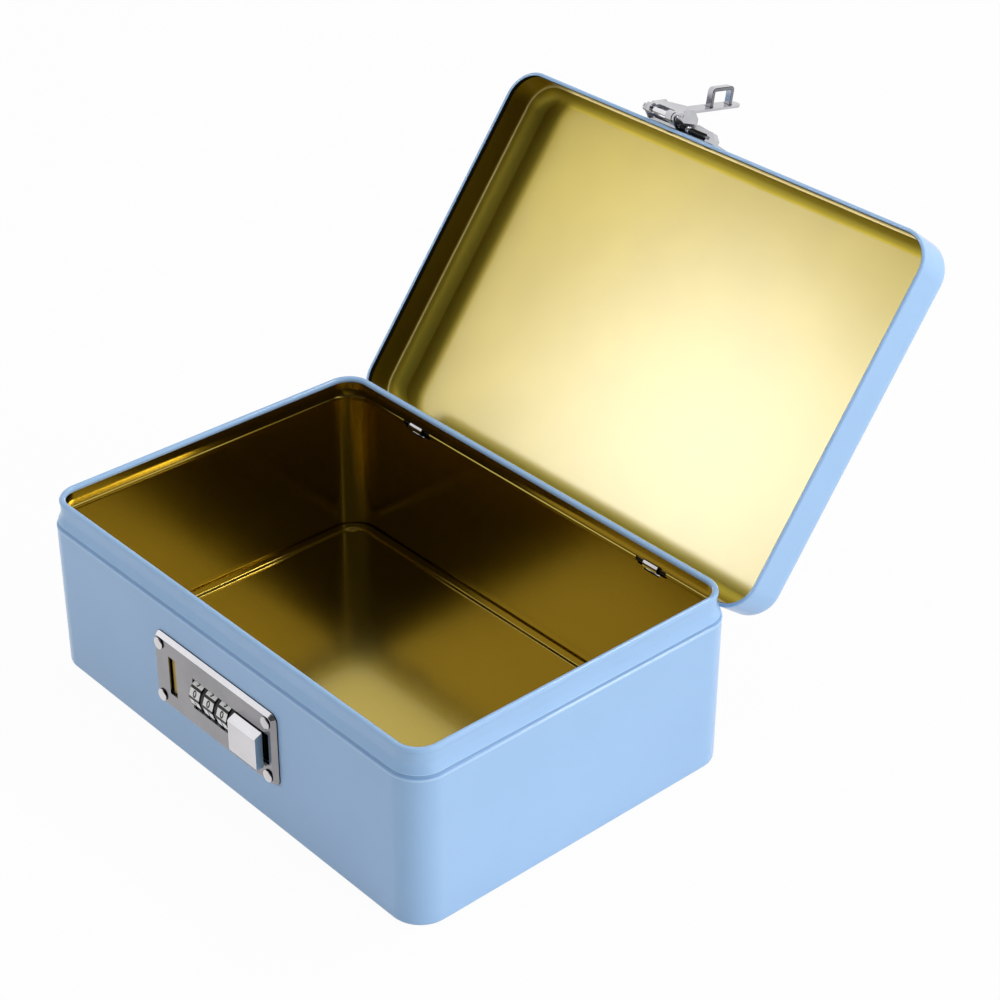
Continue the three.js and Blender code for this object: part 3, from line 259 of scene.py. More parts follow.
def plastic(name, low, high, rough, coat=0.0):
    """Moulded plastic with a fine skin."""
    m = Nodes(name)
    m.colour(m.noise(scale=120, detail=3), low, high)
    m.rough(m.noise(scale=300, detail=3), *rough)
    m.relief(m.bump(m.noise(scale=2500, detail=2), strength=0.05, distance=0.0001))
    m.set(Coat_Weight=coat)
    return m.material


# Enamel outside, with copies for a painted highlight on the shoulder's lips and the rim and painted
# shade in the shoulder's groove
BLUE = enamel("blue_enamel", rgb(150, 184, 222), rgb(155, 189, 227))
BLUE_LIP_HIGHLIGHT = enamel("blue_enamel_edge", rgb(166, 197, 231), rgb(174, 205, 236))
BLUE_GROOVE_SHADE = enamel("blue_enamel_crease", rgb(126, 161, 203), rgb(136, 171, 212))
BLUE_RIM_HIGHLIGHT = enamel("blue_enamel_bright", rgb(226, 238, 250), rgb(234, 244, 252))

# Lacquer inside: the lid's panel, its rounded edge, the walls and floor, a painted highlight on the
# lid's ledge, and painted shade at the hems
GOLD = lacquer("gold_lacquer", rgb(180, 160, 52), rgb(189, 169, 62), (0.5, 0.57),
               Coat_Weight=1.0, Coat_Roughness=0.18, Coat_IOR=1.5)
GOLD_ROUND = lacquer("gold_lacquer_round", rgb(186, 166, 54), rgb(196, 176, 64), (0.46, 0.54),
                     metallic=0.8)
INSIDE = lacquer("gold_lacquer_inside", rgb(176, 155, 69), rgb(185, 164, 78), (0.15, 0.21),
                 wave=0.03, Coat_Weight=0.25, Coat_Roughness=0.06)
GOLD_LEDGE_HIGHLIGHT = lacquer("gold_worn_edge", rgb(246, 224, 146), rgb(253, 236, 170), (0.3, 0.4),
               wave=0.05, metallic=0.35)
SHADE_LACQUER = lacquer("hem_shadow", rgb(18, 14, 6), rgb(27, 21, 9), (0.6, 0.7),
               wave=0.05, metallic=0.0, Specular_IOR_Level=0.1)

PLATE = metal("plated_face", rgb(142, 140, 143), rgb(154, 152, 155), (0.2, 0.28),
              grain=(1, 0.2, 1), bite=0.02)
# Chrome, also the painted highlight on the lock plate's bevel
CHROME_AND_HIGHLIGHT = metal("chrome", rgb(222, 221, 225), rgb(234, 233, 237), (0.14, 0.22), bite=0.01)
# Near-black and grey copies of chrome: painted shade on the staple
SHADED_DARK_CHROME = metal("chrome_edge", rgb(40, 40, 44), rgb(62, 62, 66), (0.2, 0.3), bite=0.01)
# A darker copy of chrome, painted shade on the hasp, the staple and the hinge leaves
HASP_CHROME_DIMMED = metal("chrome_worn", rgb(180, 181, 186), rgb(204, 204, 208), (0.14, 0.24),
                    bite=0.02)
SHADED_GREY_CHROME = metal("chrome_shaded", rgb(112, 113, 118), rgb(140, 141, 146), (0.16, 0.26),
                    bite=0.02)
# Painted shade on the slide knob's front face, and a painted reflection of the blue wall on its
# right side
KNOB_FACE_SHADE = metal("chrome_face", rgb(204, 201, 204), rgb(214, 211, 214), (0.16, 0.24), bite=0.01)
KNOB_SIDE_REFLECTION = lacquer("chrome_side", rgb(138, 166, 190), rgb(148, 175, 199), (0.3, 0.4),
                    wave=0.02, metallic=0.3)
RIVET = metal("plated_rivet", rgb(202, 198, 200), rgb(216, 212, 214), (0.12, 0.2), bite=0.02)
STEEL = metal("zinc_plate", rgb(150, 150, 155), rgb(176, 176, 180), (0.28, 0.42),
              grain=(0.2, 1, 1), bite=0.1)
# Blackened steel, also painted shade in the lock, at the plate's foot and on the rivets' sides
BLACK_STEEL_AND_SHADE = metal("blackened_steel", rgb(26, 26, 28), rgb(44, 43, 44), (0.25, 0.4))
YELLOW = metal("yellow_passivated", rgb(150, 128, 52), rgb(176, 150, 70), (0.28, 0.42),
               grain=(1, 0.3, 1), bite=0.1)

IVORY = plastic("ivory_plastic", rgb(232, 231, 226), rgb(240, 239, 235), (0.25, 0.36), coat=0.3)
# Black ink for the digits, also painted shade between the wheels' facets; black plastic, also
# painted shade in the wheels' grooves
INK_AND_SHADE = plastic("black_ink", rgb(12, 12, 13), rgb(20, 20, 21), (0.4, 0.5))
BLACK_PLASTIC_AND_SHADE = plastic("black_plastic", rgb(18, 18, 19), rgb(28, 28, 29), (0.4, 0.55))


# ---------------------------------------------------------------- mesh helpers
def made(name, points, faces, materials, slots=None, matrix=None, sharp=SMOOTH):
    """A piece from points in mm and faces, its normals outward, turned by a matrix if given."""
    mesh = bpy.data.meshes.new(name)
    mesh.from_pydata([Vector(p) * MM for p in points], [], faces)
    if matrix is not None:
        mesh.transform(matrix)
    for material in materials:
        mesh.materials.append(material)
    if slots:
        mesh.polygons.foreach_set("material_index", slots)
    mesh.validate()
    work = bmesh.new()
    work.from_mesh(mesh)
    bmesh.ops.recalc_face_normals(work, faces=work.faces)
    work.to_mesh(mesh)
    work.free()
    return linked(name, mesh, sharp)


def smoothed(mesh, sharp=SMOOTH):
    mesh.polygons.foreach_set("use_smooth", [True] * len(mesh.polygons))
    mesh.set_sharp_from_angle(angle=math.radians(sharp))


def linked(name, mesh, sharp=SMOOTH):
    smoothed(mesh, sharp)
    piece = bpy.data.objects.new(name, mesh)
    bpy.context.scene.collection.objects.link(piece)
    return piece


def weighted(piece):
    modifier = piece.modifiers.new("weighted", "WEIGHTED_NORMAL")
    modifier.keep_sharp = True


def placed(piece, body, replaces=()):
    """Puts the piece on its body, in the place of the CAD nodes that it replaces, which are hidden.
    """
    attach(piece, body)
    if replaces:
        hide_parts(*replaces)


def arc(cx, cz, rx, rz, start, end, steps):
    return [(cx + rx * math.cos(start + (end - start) * i / steps),
             cz + rz * math.sin(start + (end - start) * i / steps)) for i in range(steps + 1)]


def rounded(hx, hy, r, steps):
    """A rounded rectangle round the origin, counter-clockwise."""
    points = []
    for i, (sx, sy) in enumerate(((1, 1), (-1, 1), (-1, -1), (1, -1))):
        cx, cy = sx * (hx - r), sy * (hy - r)
        for k in range(steps + 1):
            angle = i * QUARTER + QUARTER * k / steps
            points.append((cx + r * math.cos(angle), cy + r * math.sin(angle)))
    return points


def loft(profile, hx, hy, corner, closed, paint, steps=18):
    """Points, faces and material slots of rounded rings for each (inset, z) of a profile.

    paint has the slot of each ring's strip to the next. An open profile gets flat caps.
    """
    smallest = 0.3
    points, faces, slots = [], [], []
    for inset, z in profile:
        ring = rounded(hx - inset, hy - inset, max(corner - inset, smallest), steps)
        points += [(x, y, z) for x, y in ring]
    count = len(ring)
    for i in range(len(profile) if closed else len(profile) - 1):
        a, b = i * count, ((i + 1) % len(profile)) * count
        for k in range(count):
            n = (k + 1) % count
            faces.append((a + k, a + n, b + n, b + k))
            slots.append(paint[i])
    if not closed:
        faces += [tuple(range(count)), tuple(range(len(points) - count, len(points)))]
        slots += [paint[0], paint[-1]]
    return points, faces, slots


def cut_from(piece, cutters):
    """Takes the cutters out of the piece and deletes them."""
    for cutter in cutters:
        modifier = piece.modifiers.new("cut", "BOOLEAN")
        modifier.object = cutter
        modifier.operation = "DIFFERENCE"
        modifier.solver = "EXACT"
    bpy.context.view_layer.update()
    graph = bpy.context.evaluated_depsgraph_get()
    result = bpy.data.meshes.new_from_object(piece.evaluated_get(graph))
    piece.modifiers.clear()
    piece.data = result
    for cutter in cutters:
        bpy.data.objects.remove(cutter)
    smoothed(result)


def block(x0, x1, y0, y1, z0, z1, material=None):
    points = [(x, y, z) for x in (x0, x1) for y in (y0, y1) for z in (z0, z1)]
    faces = [(0, 1, 3, 2), (4, 6, 7, 5), (0, 4, 5, 1), (2, 3, 7, 6), (0, 2, 6, 4), (1, 5, 7, 3)]
    return made("cutter", points, faces, [material] if material else [])


def circle(x, y, z, radius, steps):
    """Points round a line along Y."""
    return [(x + radius * math.cos(TAU * i / steps), y, z + radius * math.sin(TAU * i / steps))
            for i in range(steps)]


def drum(x, z, radius, y0, y1, steps=32):
    points = circle(x, y0, z, radius, steps) + circle(x, y1, z, radius, steps)
    faces = []
    for i in range(steps):
        n = (i + 1) % steps
        faces.append((i, n, steps + n, steps + i))
    faces += [tuple(range(steps)), tuple(range(steps, 2 * steps))]
    return made("cutter", points, faces, [])


def lathe(name, profile, x, z, material, steps=40):
    """A piece turned about a line along Y, from (radius, y) points whose ends are on the line."""
    points = [(x, profile[0][1], z)]
    for radius, y in profile[1:-1]:
        points += circle(x, y, z, radius, steps)
    points.append((x, profile[-1][1], z))
    rings, last = len(profile) - 2, len(points) - 1
    faces = []
    for k in range(steps):
        n = (k + 1) % steps
        faces.append((0, 1 + k, 1 + n))
        for r in range(rings - 1):
            a, b = 1 + r * steps, 1 + (r + 1) * steps
            faces.append((a + k, b + k, b + n, a + n))
        faces.append((last, last - steps + n, last - steps + k))
    return made(name, points, faces, [material], sharp=50)


def refined(node, material, bevel, segments=2, sharp=40):
    """A finer piece for a CAD node: its faces joined, its edges rounded and its curves smooth."""
    weld, flat, bent = 2e-6, math.radians(1), math.radians(30)
    source = frame["nodes"][node]
    mesh = source.data.copy()
    mesh.name = node + "_fine"
    work = bmesh.new()
    work.from_mesh(mesh)
    bmesh.ops.remove_doubles(work, verts=work.verts, dist=weld)
    bmesh.ops.dissolve_limit(work, angle_limit=flat, verts=work.verts, edges=work.edges)
    edges = [e for e in work.edges if len(e.link_faces) == 2 and e.calc_face_angle(0) > bent]
    bmesh.ops.bevel(work, geom=edges, offset=bevel * MM, segments=segments, profile=0.5,
                    affect="EDGES", clamp_overlap=True)
    bmesh.ops.recalc_face_normals(work, faces=work.faces)
    work.to_mesh(mesh)
    work.free()
    mesh.materials.clear()
    mesh.materials.append(material)
    if mesh.has_custom_normals:
        mesh.attributes.remove(mesh.attributes["custom_normal"])
    piece = linked(node + "_fine", mesh, sharp)
    weighted(piece)
    placed(piece, source.parent.name.replace("body:", ""), [node])
    return piece


def painted(piece, material, choose):
    """A further material on the faces whose centre, in mm, and normal are chosen."""
    piece.data.materials.append(material)
    last = len(piece.data.materials) - 1
    for face in piece.data.polygons:
        if choose(face.center / MM, face.normal):
            face.material_index = last


def split_at(piece, x):
    """Splits the faces that cross the plane at x, in mm."""
    work = bmesh.new()
    work.from_mesh(piece.data)
    bmesh.ops.bisect_plane(work, geom=work.verts[:] + work.edges[:] + work.faces[:],
                           plane_co=(x * MM, 0, 0), plane_no=(1, 0, 0))
    work.to_mesh(piece.data)
    work.free()


def corners(node):
    """The low and high corner of a CAD node's box, in mm."""
    return [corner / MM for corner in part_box(node)]


# ---------------------------------------------------------------- body
def body_shell():
    """The drawn body: foot, wall, shoulder, neck and curled rim, with its openings cut out."""
    outer, inner, hem_painted_shade, lip_highlight, crease_shade, far, near = range(7)
    materials = [BLUE, INSIDE, SHADE_LACQUER, BLUE_LIP_HIGHLIGHT, BLUE_GROOVE_SHADE, BLUE_RIM_HIGHLIGHT]
    foot_steps, inner_foot_steps, bead_steps, hem_shade_steps = 8, 6, 28, 4
    start = math.acos(LEAN / BEAD) - math.pi
    end = -TAU - math.acos((SHEET - LEAN) / BEAD)
    profile = arc(FOOT, FOOT, FOOT, FOOT, -QUARTER, -math.pi, foot_steps)
    profile += SHOULDER
    profile += arc(NECK + LEAN, RIM_TOP - BEAD, BEAD, BEAD, start, end, bead_steps)
    profile.append((NECK + SHEET, profile[-1][1] - HEM_DROP))
    wall = len(profile) - 1
    profile += [(x + SHEET, z) for x, z in reversed(SHOULDER)]
    profile += arc(FOOT, FOOT, FOOT - SHEET, FOOT - SHEET, -math.pi, -QUARTER, inner_foot_steps)
    profile += [(FLANGE, SHEET), (FLANGE, 0)]

    # The curl's last segments and the step under it, inside, are painted shade
    hem_shade_start = wall - hem_shade_steps
    paint = [outer] * hem_shade_start + [hem_painted_shade] * hem_shade_steps + [inner] * (len(profile) - wall)
    paint[-1] = outer
    # The shoulder's lips get a painted highlight and its groove painted shade
    shoulder = foot_steps + 1
    rim = shoulder + len(SHOULDER)
    for first, segments, slot in ((shoulder, LIPS, lip_highlight), (shoulder, GROOVE, crease_shade),
                                  (rim, FAR_GLEAM, far), (rim, NEAR_GLEAM, near)):
        for i in segments:
            paint[first + i] = slot
    points, faces, slots = loft(profile, HALF_X, HALF_Y, CORNER, True, paint)
    # The rim's painted highlight line lies on one side of the curl behind, and on the other in
    # front
    for i, face in enumerate(faces):
        if slots[i] in (far, near):
            x, y = (sum(points[k][axis] for k in face) / len(face) for axis in (0, 1))
            behind = y / HALF_Y > x / HALF_X
            slots[i] = far if (slots[i] == far) == behind else outer
    shell = made("body_shell_painted", points, faces, materials, slots)

    front, back = -HALF_Y - OVERRUN, -HALF_Y + SHEET + OVERRUN
    cutters = [
        block(WALL_WINDOW_LEFT, WINDOW_RIGHT, front, back,
              LOCK_Z - WALL_WINDOW_RISE, LOCK_Z + WALL_WINDOW_RISE, SHADE_LACQUER),
        block(SLOT_X - SLOT_HALF - WALL_SLOT_LEFT, SLOT_X + SLOT_HALF + WALL_SLOT_GAP,
              front, back, LOCK_Z - WALL_SLOT_RISE, LOCK_Z + WALL_SLOT_RISE, SHADE_LACQUER),
    ]
    front, back = HALF_Y - SHEET - OVERRUN, HALF_Y + OVERRUN
    for x in (-HINGE_X, HINGE_X):
        cutters.append(block(x - REAR_SLOT, x + REAR_SLOT, front, back,
                             HINGE_Z - REAR_SLOT_RISE, HINGE_Z + REAR_SLOT_RISE, SHADE_LACQUER))
        cutters.append(block(x - REAR_OPENING, x + REAR_OPENING, front, back,
                             HINGE_Z - REAR_DROP, HINGE_Z + REAR_RISE, SHADE_LACQUER))
    cut_from(shell, cutters)
    weighted(shell)
    placed(shell, "box", ["body_shell"])


def hinge_loops():
    """The straps bent out of the back wall round the hinge pins."""
    steps = 14
    arc_points = steps + 1
    hole = arc_points + 2           # the outline's first point on the hole
    leg = HINGE_Y - (HALF_Y - SHEET)
    outline = arc(0, 0, HINGE_OUTER, HINGE_OUTER, -QUARTER, QUARTER, steps)
    outline += [(-leg, HINGE_OUTER), (-leg, HINGE_HOLE)]
    outline += arc(0, 0, HINGE_HOLE, HINGE_HOLE, QUARTER, -QUARTER, steps)
    outline += [(-leg, -HINGE_HOLE), (-leg, -HINGE_OUTER)]
    count = len(outline)
    for side, label in ((-1, "left"), (1, "right")):
        for half, tag in ((-1, "a"), (1, "b")):
            middle = side * HINGE_X
            ends = sorted((middle + half * STRAP_FROM, middle + half * STRAP_TO))
            points = [(x, HINGE_Y + y, HINGE_Z + z) for x in ends for y, z in outline]
            faces = []
            for i in range(count):
                n = (i + 1) % count
                faces.append((i, n, count + n, count + i))
            for base in (0, count):
                for i in range(steps):
                    across = hole + steps - i
                    faces.append((base + i, base + i + 1, base + across - 1, base + across))
                faces.append((base + steps, base + steps + 1, base + steps + 2, base + hole))
                faces.append((base, base + hole + steps, base + count - 2, base + count - 1))
            loop = made(f"hinge_strap_{label}_{tag}", points, faces, [BLUE])
            placed(loop, "box", [])


def bottom_panel():
    brim = SHEET + PANEL_GAP
    side = FLANGE + PANEL_GAP
    edge = brim + PANEL_GAP
    top = brim + SHEET
    heel = side + SHEET
    profile = [(side + PANEL_BEND, 0.0), (side, brim), (edge, brim)]
    profile += arc(edge + PANEL_BEND, top - PANEL_BEND, PANEL_BEND, PANEL_BEND,
                   math.pi, QUARTER, 4)
    profile += [(heel - PANEL_ROUND, top)]
    profile += arc(heel - PANEL_ROUND, top - PANEL_ROUND, PANEL_ROUND, PANEL_ROUND,
                   QUARTER, 0, 5)
    profile += arc(heel + PANEL_GAP + PANEL_BEND, SHEET + PANEL_BEND, PANEL_BEND, PANEL_BEND,
                   math.pi, 3 * QUARTER, 5)
    points, faces, slots = loft(profile, HALF_X, HALF_Y, CORNER, False, [0] * len(profile), 14)
    panel = made("bottom_panel_lacquered", points, faces, [INSIDE], slots)
    weighted(panel)
    placed(panel, "box", ["bottom_panel"])


# ---------------------------------------------------------------- lid
def lid_shell():
    """The drawn lid: its rounded edge, ledge, skirt and mouth bead, inside and out."""
    outer, panel, hem_painted_shade, skirt, highlighted_ledge, round_edge = range(6)
    materials = [BLUE, GOLD, SHADE_LACQUER, INSIDE, GOLD_LEDGE_HIGHLIGHT, GOLD_ROUND]
    inner_steps, outer_steps, bead_steps, bead_shade_steps = 12, 16, 24, 12
    out, wall = -LID_OUT, -LID_OUT + LID_SHEET
    curve, spring = LID_ROUND + out, LID_TOP - LID_ROUND
    shelf = wall + LEDGE
    bead_in = out + MOUTH_BEAD
    start = math.acos((wall - bead_in) / MOUTH_BEAD)
    back, drop = LEDGE_BEVEL
    profile = arc(curve, spring, curve - shelf, LID_ROUND - LID_SHEET, QUARTER, math.pi,
                  inner_steps)
    profile += [(shelf, LEDGE_Z + LEDGE_LIP), (shelf - back, LEDGE_Z + drop), (wall, LEDGE_Z),
                (wall, MOUTH_Z + LID_HEM_SHADE)]
    profile += arc(bead_in, MOUTH_Z + MOUTH_BEAD, MOUTH_BEAD, MOUTH_BEAD, start, -math.pi,
                   bead_steps)
    profile += arc(curve, spring, LID_ROUND, LID_ROUND, math.pi, QUARTER, outer_steps)
    # The ledge gets a painted highlight; the hem above the mouth and the bead's inner side get
    # painted shade
    paint = [round_edge] * (inner_steps + 1) + [highlighted_ledge] * 2 + [skirt] + [hem_painted_shade] * (1 + bead_shade_steps)
    paint += [outer] * (len(profile) - len(paint))
    points, faces, slots = loft(profile, HALF_X, HALF_Y, CORNER, False, paint)
    slots[-2] = panel               # the cap inside
    shell = made("lid_shell_painted", points, faces, materials, slots, matrix=LID)
    weighted(shell)
    placed(shell, "lid", ["lid_shell"])


# ---------------------------------------------------------------- springs
def coil(name, x0, x1, y, z, radius, wire, curls, material, matrix=None, steps=28, sides=12):
    """A spring wound along X, with a short straight end on each side."""
    straight = 2 * wire
    run = x1 - x0 - 2 * straight
    path = [(x0, 0.0)]
    path += [(x0 + straight + run * i / (curls * steps), TAU * i / steps)
             for i in range(curls * steps + 1)]
    path.append((x1, TAU * curls))
    centres = [Vector((x, y + radius * math.sin(a), z + radius * math.cos(a))) for x, a in path]
    points, faces = [], []
    for i, centre in enumerate(centres):
        if i in (0, len(centres) - 1):
            ahead = Vector((1, 0, 0))
        else:
            ahead = (centres[i + 1] - centres[i - 1]).normalized()
        outward = Vector((0, math.sin(path[i][1]), math.cos(path[i][1])))
        across = ahead.cross(outward).normalized()
        rise = across.cross(ahead)
        for k in range(sides):
            angle = TAU * k / sides
            points.append(centre + rise * wire * math.cos(angle)
                          + across * wire * math.sin(angle))
    for i in range(len(centres) - 1):
        for k in range(sides):
            n = (k + 1) % sides
            a, b = i * sides, (i + 1) * sides
            faces.append((a + k, a + n, b + n, b + k))
    faces += [tuple(range(sides)), tuple(range(len(points) - sides, len(points)))]
    return made(name, points, faces, [material], matrix=matrix, sharp=60)


def springs():
    hasp = coil("hasp_spring_wound", x0=-19.5, x1=-6.1, y=-74.75, z=65.0, radius=1.0, wire=0.28,
                curls=13, material=BLACK_STEEL_AND_SHADE, matrix=LID)
    bright_from, bright_to = -15.6, -14.2
    painted(hasp, CHROME_AND_HIGHLIGHT, lambda c, n: bright_from < c.x < bright_to)
    placed(hasp, "lid", ["hasp_spring"])
    low, high = corners("return_spring")
    wire = 0.3
    back = coil("return_spring_wound", low.x, high.x, (low.y + high.y) / 2,
                (low.z + high.z) / 2, (high.z - low.z) / 2 - wire, wire, 13, STEEL)
    placed(back, "box", ["return_spring"])


# ---------------------------------------------------------------- dial wheels
def digit(wheel, number):
    name = f"digit_{wheel + 1}_{number}"
    text = bpy.data.curves.new(name, "FONT")
    text.body = str(number)
    text.size = DIGIT_SIZE * MM
    text.align_x = "CENTER"
    text.align_y = "CENTER"
    text.extrude = DIGIT_DEPTH * MM
    text.offset = DIGIT_WEIGHT * MM
    text.resolution_u = 6
    holder = bpy.data.objects.new("text", text)
    bpy.context.scene.collection.objects.link(holder)
    bpy.context.view_layer.update()
    graph = bpy.context.evaluated_depsgraph_get()
    mesh = bpy.data.meshes.new_from_object(holder.evaluated_get(graph))
    bpy.data.objects.remove(holder)
    xs = [v.co.x for v in mesh.vertices]
    ys = [v.co.y for v in mesh.vertices]
    middle = Vector(((min(xs) + max(xs)) / 2, (min(ys) + max(ys)) / 2, 0))
    mesh.transform(Matrix.Translation(-middle))
    face = Vector((WHEELS_X[wheel], WHEEL_Y - FACET - DIGIT_LIFT, LOCK_Z))
    stand = Matrix.Translation(face * MM) @ Matrix.Rotation(QUARTER, 4, "X")
    mesh.transform(turn_x(WHEEL_Y, LOCK_Z, (number - 0.5) * 360 / FACETS) @ stand)
    mesh.name = name
    mesh.materials.clear()
    mesh.materials.append(INK_AND_SHADE)
    placed(linked(name, mesh), f"wheel_{wheel + 1}", [])


def facet_lines(wheel):
    """Painted shade: black bars between the facets."""
    points, faces = [], []
    section = ((-BAR_WIDTH, BAR_IN), (BAR_WIDTH, BAR_IN), (BAR_WIDTH, BAR_OUT),
               (-BAR_WIDTH, BAR_OUT))
    for i in range(FACETS):
        angle = TAU * i / FACETS
        for x in (-BAR_LENGTH, BAR_LENGTH):
            for across, out in section:
                y = -out * math.cos(angle) - across * math.sin(angle)
                z = -out * math.sin(angle) + across * math.cos(angle)
                points.append((WHEELS_X[wheel] + x, WHEEL_Y + y, LOCK_Z + z))
        a = 8 * i
        faces += [(a, a + 1, a + 2, a + 3), (a + 4, a + 7, a + 6, a + 5),
                  (a, a + 4, a + 5, a + 1), (a + 1, a + 5, a + 6, a + 2),
                  (a + 2, a + 6, a + 7, a + 3), (a + 3, a + 7, a + 4, a)]
    bars = made(f"facet_lines_{wheel + 1}", points, faces, [INK_AND_SHADE])
    placed(bars, f"wheel_{wheel + 1}", [])


def wheel_black(centre, normal):
    """True for a wheel's sides, hub and grooves, which are black; in the grooves the black is
    painted shade.
    """
    sideways, across, outward = 0.7, 0.3, 0.85
    radial = Vector((0, centre.y - WHEEL_Y, centre.z - LOCK_Z))
    side = abs(normal.x) > sideways
    groove = abs(normal.x) < across and normal.dot(radial.normalized()) < outward
    return side or groove or radial.length < WHEEL_HUB


def dial_wheels():
    for wheel in range(len(WHEELS_X)):
        painted(refined(f"dial_wheel_{wheel + 1}", IVORY, 0.1), BLACK_PLASTIC_AND_SHADE, wheel_black)
        facet_lines(wheel)
        for number in range(FACETS):
            digit(wheel, number)


# ---------------------------------------------------------------- the rest of the metal
def lid_rivet(node, outside):
    """A lid rivet with its inner head flattened, and lacquered gold there."""
    rivet = refined(node, outside, 0.1, sharp=60)
    back = LID.inverted()
    under, height_share = 0.1, 0.2
    seat = HALF_Y + LID_OUT - LID_SHEET - under
    for vertex in rivet.data.vertices:
        place = back @ vertex.co / MM
        if abs(place.y) < seat:
            place.y = math.copysign(seat - (seat - abs(place.y)) * height_share, place.y)
            vertex.co = LID @ (place * MM)
    painted(rivet, GOLD, lambda c, n: abs((back @ (c * MM)).y / MM) < HALF_Y - under)


def plate_rivet(i):
    """A plate rivet with a low domed head, the side under its dome painted black as shade."""
    low, high = corners(f"lock_rivet_{i}")
    x, z = (low.x + high.x) / 2, (low.z + high.z) / 2
    head, foot, shank = 2.35, 2.3, 1.1      # radii
    rise, side = 0.5, 0.45                  # the dome's height, and the head's below it
    tail, tail_top, tail_foot = 1.9, 1.8, 1.85      # radii of the closed end
    tail_height, tail_side, tail_round = 0.6, 0.5, 0.1
    steps = 8
    dome = [(head * math.sin(QUARTER * k / steps),
             PLATE_FACE - rise - rise * math.cos(QUARTER * k / steps)) for k in range(steps + 1)]
    profile = dome + [(head, PLATE_FACE - side), (foot, PLATE_FACE), (shank, PLATE_FACE),
                      (shank, high.y - tail_height), (tail_foot, high.y - tail_height),
                      (tail, high.y - tail_side), (tail, high.y - tail_round),
                      (tail_top, high.y), (0, high.y)]
    rivet = lathe(f"lock_rivet_{i}_fine", profile, x, z, RIVET)
    upright, side_shade_from = 0.5, PLATE_FACE - 0.47
    # Painted shade: the head's side under the dome is black
    painted(rivet, BLACK_STEEL_AND_SHADE, lambda c, n: abs(n.y) < upright and side_shade_from < c.y < PLATE_FACE)
    placed(rivet, "box", [f"lock_rivet_{i}"])


def lock_plate():
    """The plate pressed as a shallow pan: a brushed face, a painted highlight on its bevel and
    painted shade at its foot.
    """
    face, bevel, foot = range(3)
    profile = [(1.7, 1.3), (1.2, 1.1), (0.7, 0.5), (0.7, 0.02), (0, 0.02), (0, 0.4),
               (0.08, 0.55), (0.3, 0.8), (1.15, 1.85), (1.35, 1.97), (1.6, 2)]
    # The pan's foot against the wall is painted shade, and its bevel a painted highlight
    paint = [face] * 3 + [foot] * 2 + [bevel] * 4 + [face] * 2
    points, faces, slots = loft(profile, PLATE_HALF_X, PLATE_HALF_Z, PLATE_CORNER, False, paint,
                                steps=8)
    stand = Matrix(((1, 0, 0, LOCK_X * MM), (0, 0, -1, -HALF_Y * MM), (0, 1, 0, LOCK_Z * MM),
                    (0, 0, 0, 1)))
    plate = made("lock_plate_pressed", points, faces, [PLATE, CHROME_AND_HIGHLIGHT, BLACK_STEEL_AND_SHADE], slots,
                 matrix=stand)
    ahead, behind, upward = 1, 0.5, 0.3
    front, back = PLATE_FACE - ahead, -HALF_Y + behind
    cutters = [block(WINDOW_LEFT, WINDOW_RIGHT, front, back,
                     LOCK_Z - WINDOW_RISE, LOCK_Z + WINDOW_RISE),
               block(SLOT_X - SLOT_HALF, SLOT_X + SLOT_HALF, front, back,
                     LOCK_Z - SLOT_RISE, LOCK_Z + SLOT_RISE)]
    cutters += [drum(LOCK_X + x, LOCK_Z + z, RIVET_HOLE, front, back)
                for x in (-RIVET_X, RIVET_X) for z in (-RIVET_Z, RIVET_Z)]
    cut_from(plate, cutters)
    for polygon in plate.data.polygons:     # only the bevel's upper side keeps the painted highlight
        if polygon.material_index == bevel and polygon.normal.z < upward:
            polygon.material_index = face
    weighted(plate)
    placed(plate, "box", ["lock_plate"])


def staple():
    """The staple with painted shade: grey on its right faces, and near black at the loop's top and
    at its foot.
    """
    piece = refined("hasp_staple", HASP_CHROME_DIMMED, 0.25, 3, sharp=60)
    low, high = corners("hasp_staple")
    top, foot, rightward = high.z - 3, low.z + 2.4, 0.6
    painted(piece, SHADED_GREY_CHROME, lambda c, n: n.x > rightward)
    painted(piece, SHADED_DARK_CHROME, lambda c, n: n.x > rightward and (c.z > top or c.z < foot))


def lock_inside():
    """The lock's frame, case and bolt: yellow by the slot, and black as painted shade where the
    wheels are.
    """
    for node in ("lock_frame", "lock_case"):
        piece = refined(node, YELLOW, 0.1)
        low, high = corners(node)
        heart = (low + high) / 2
        split_at(piece, SHADE_FROM_X)
        painted(piece, BLACK_STEEL_AND_SHADE, lambda c, n: c.x > SHADE_FROM_X and n.dot(heart - c) > 0)
    bolt = refined("lock_bolt", YELLOW, 0.08)
    split_at(bolt, SHADE_FROM_X)
    painted(bolt, BLACK_STEEL_AND_SHADE, lambda c, n: c.x > SHADE_FROM_X)
    for vertex in bolt.data.vertices:
        x, z = vertex.co.x / MM, vertex.co.z / MM - LOCK_Z
        if x < SLOT_X + TONGUE_TO and abs(z) > TONGUE_CORE:
            vertex.co.z += math.copysign(max(0, TONGUE_RISE - abs(z)), z) * MM


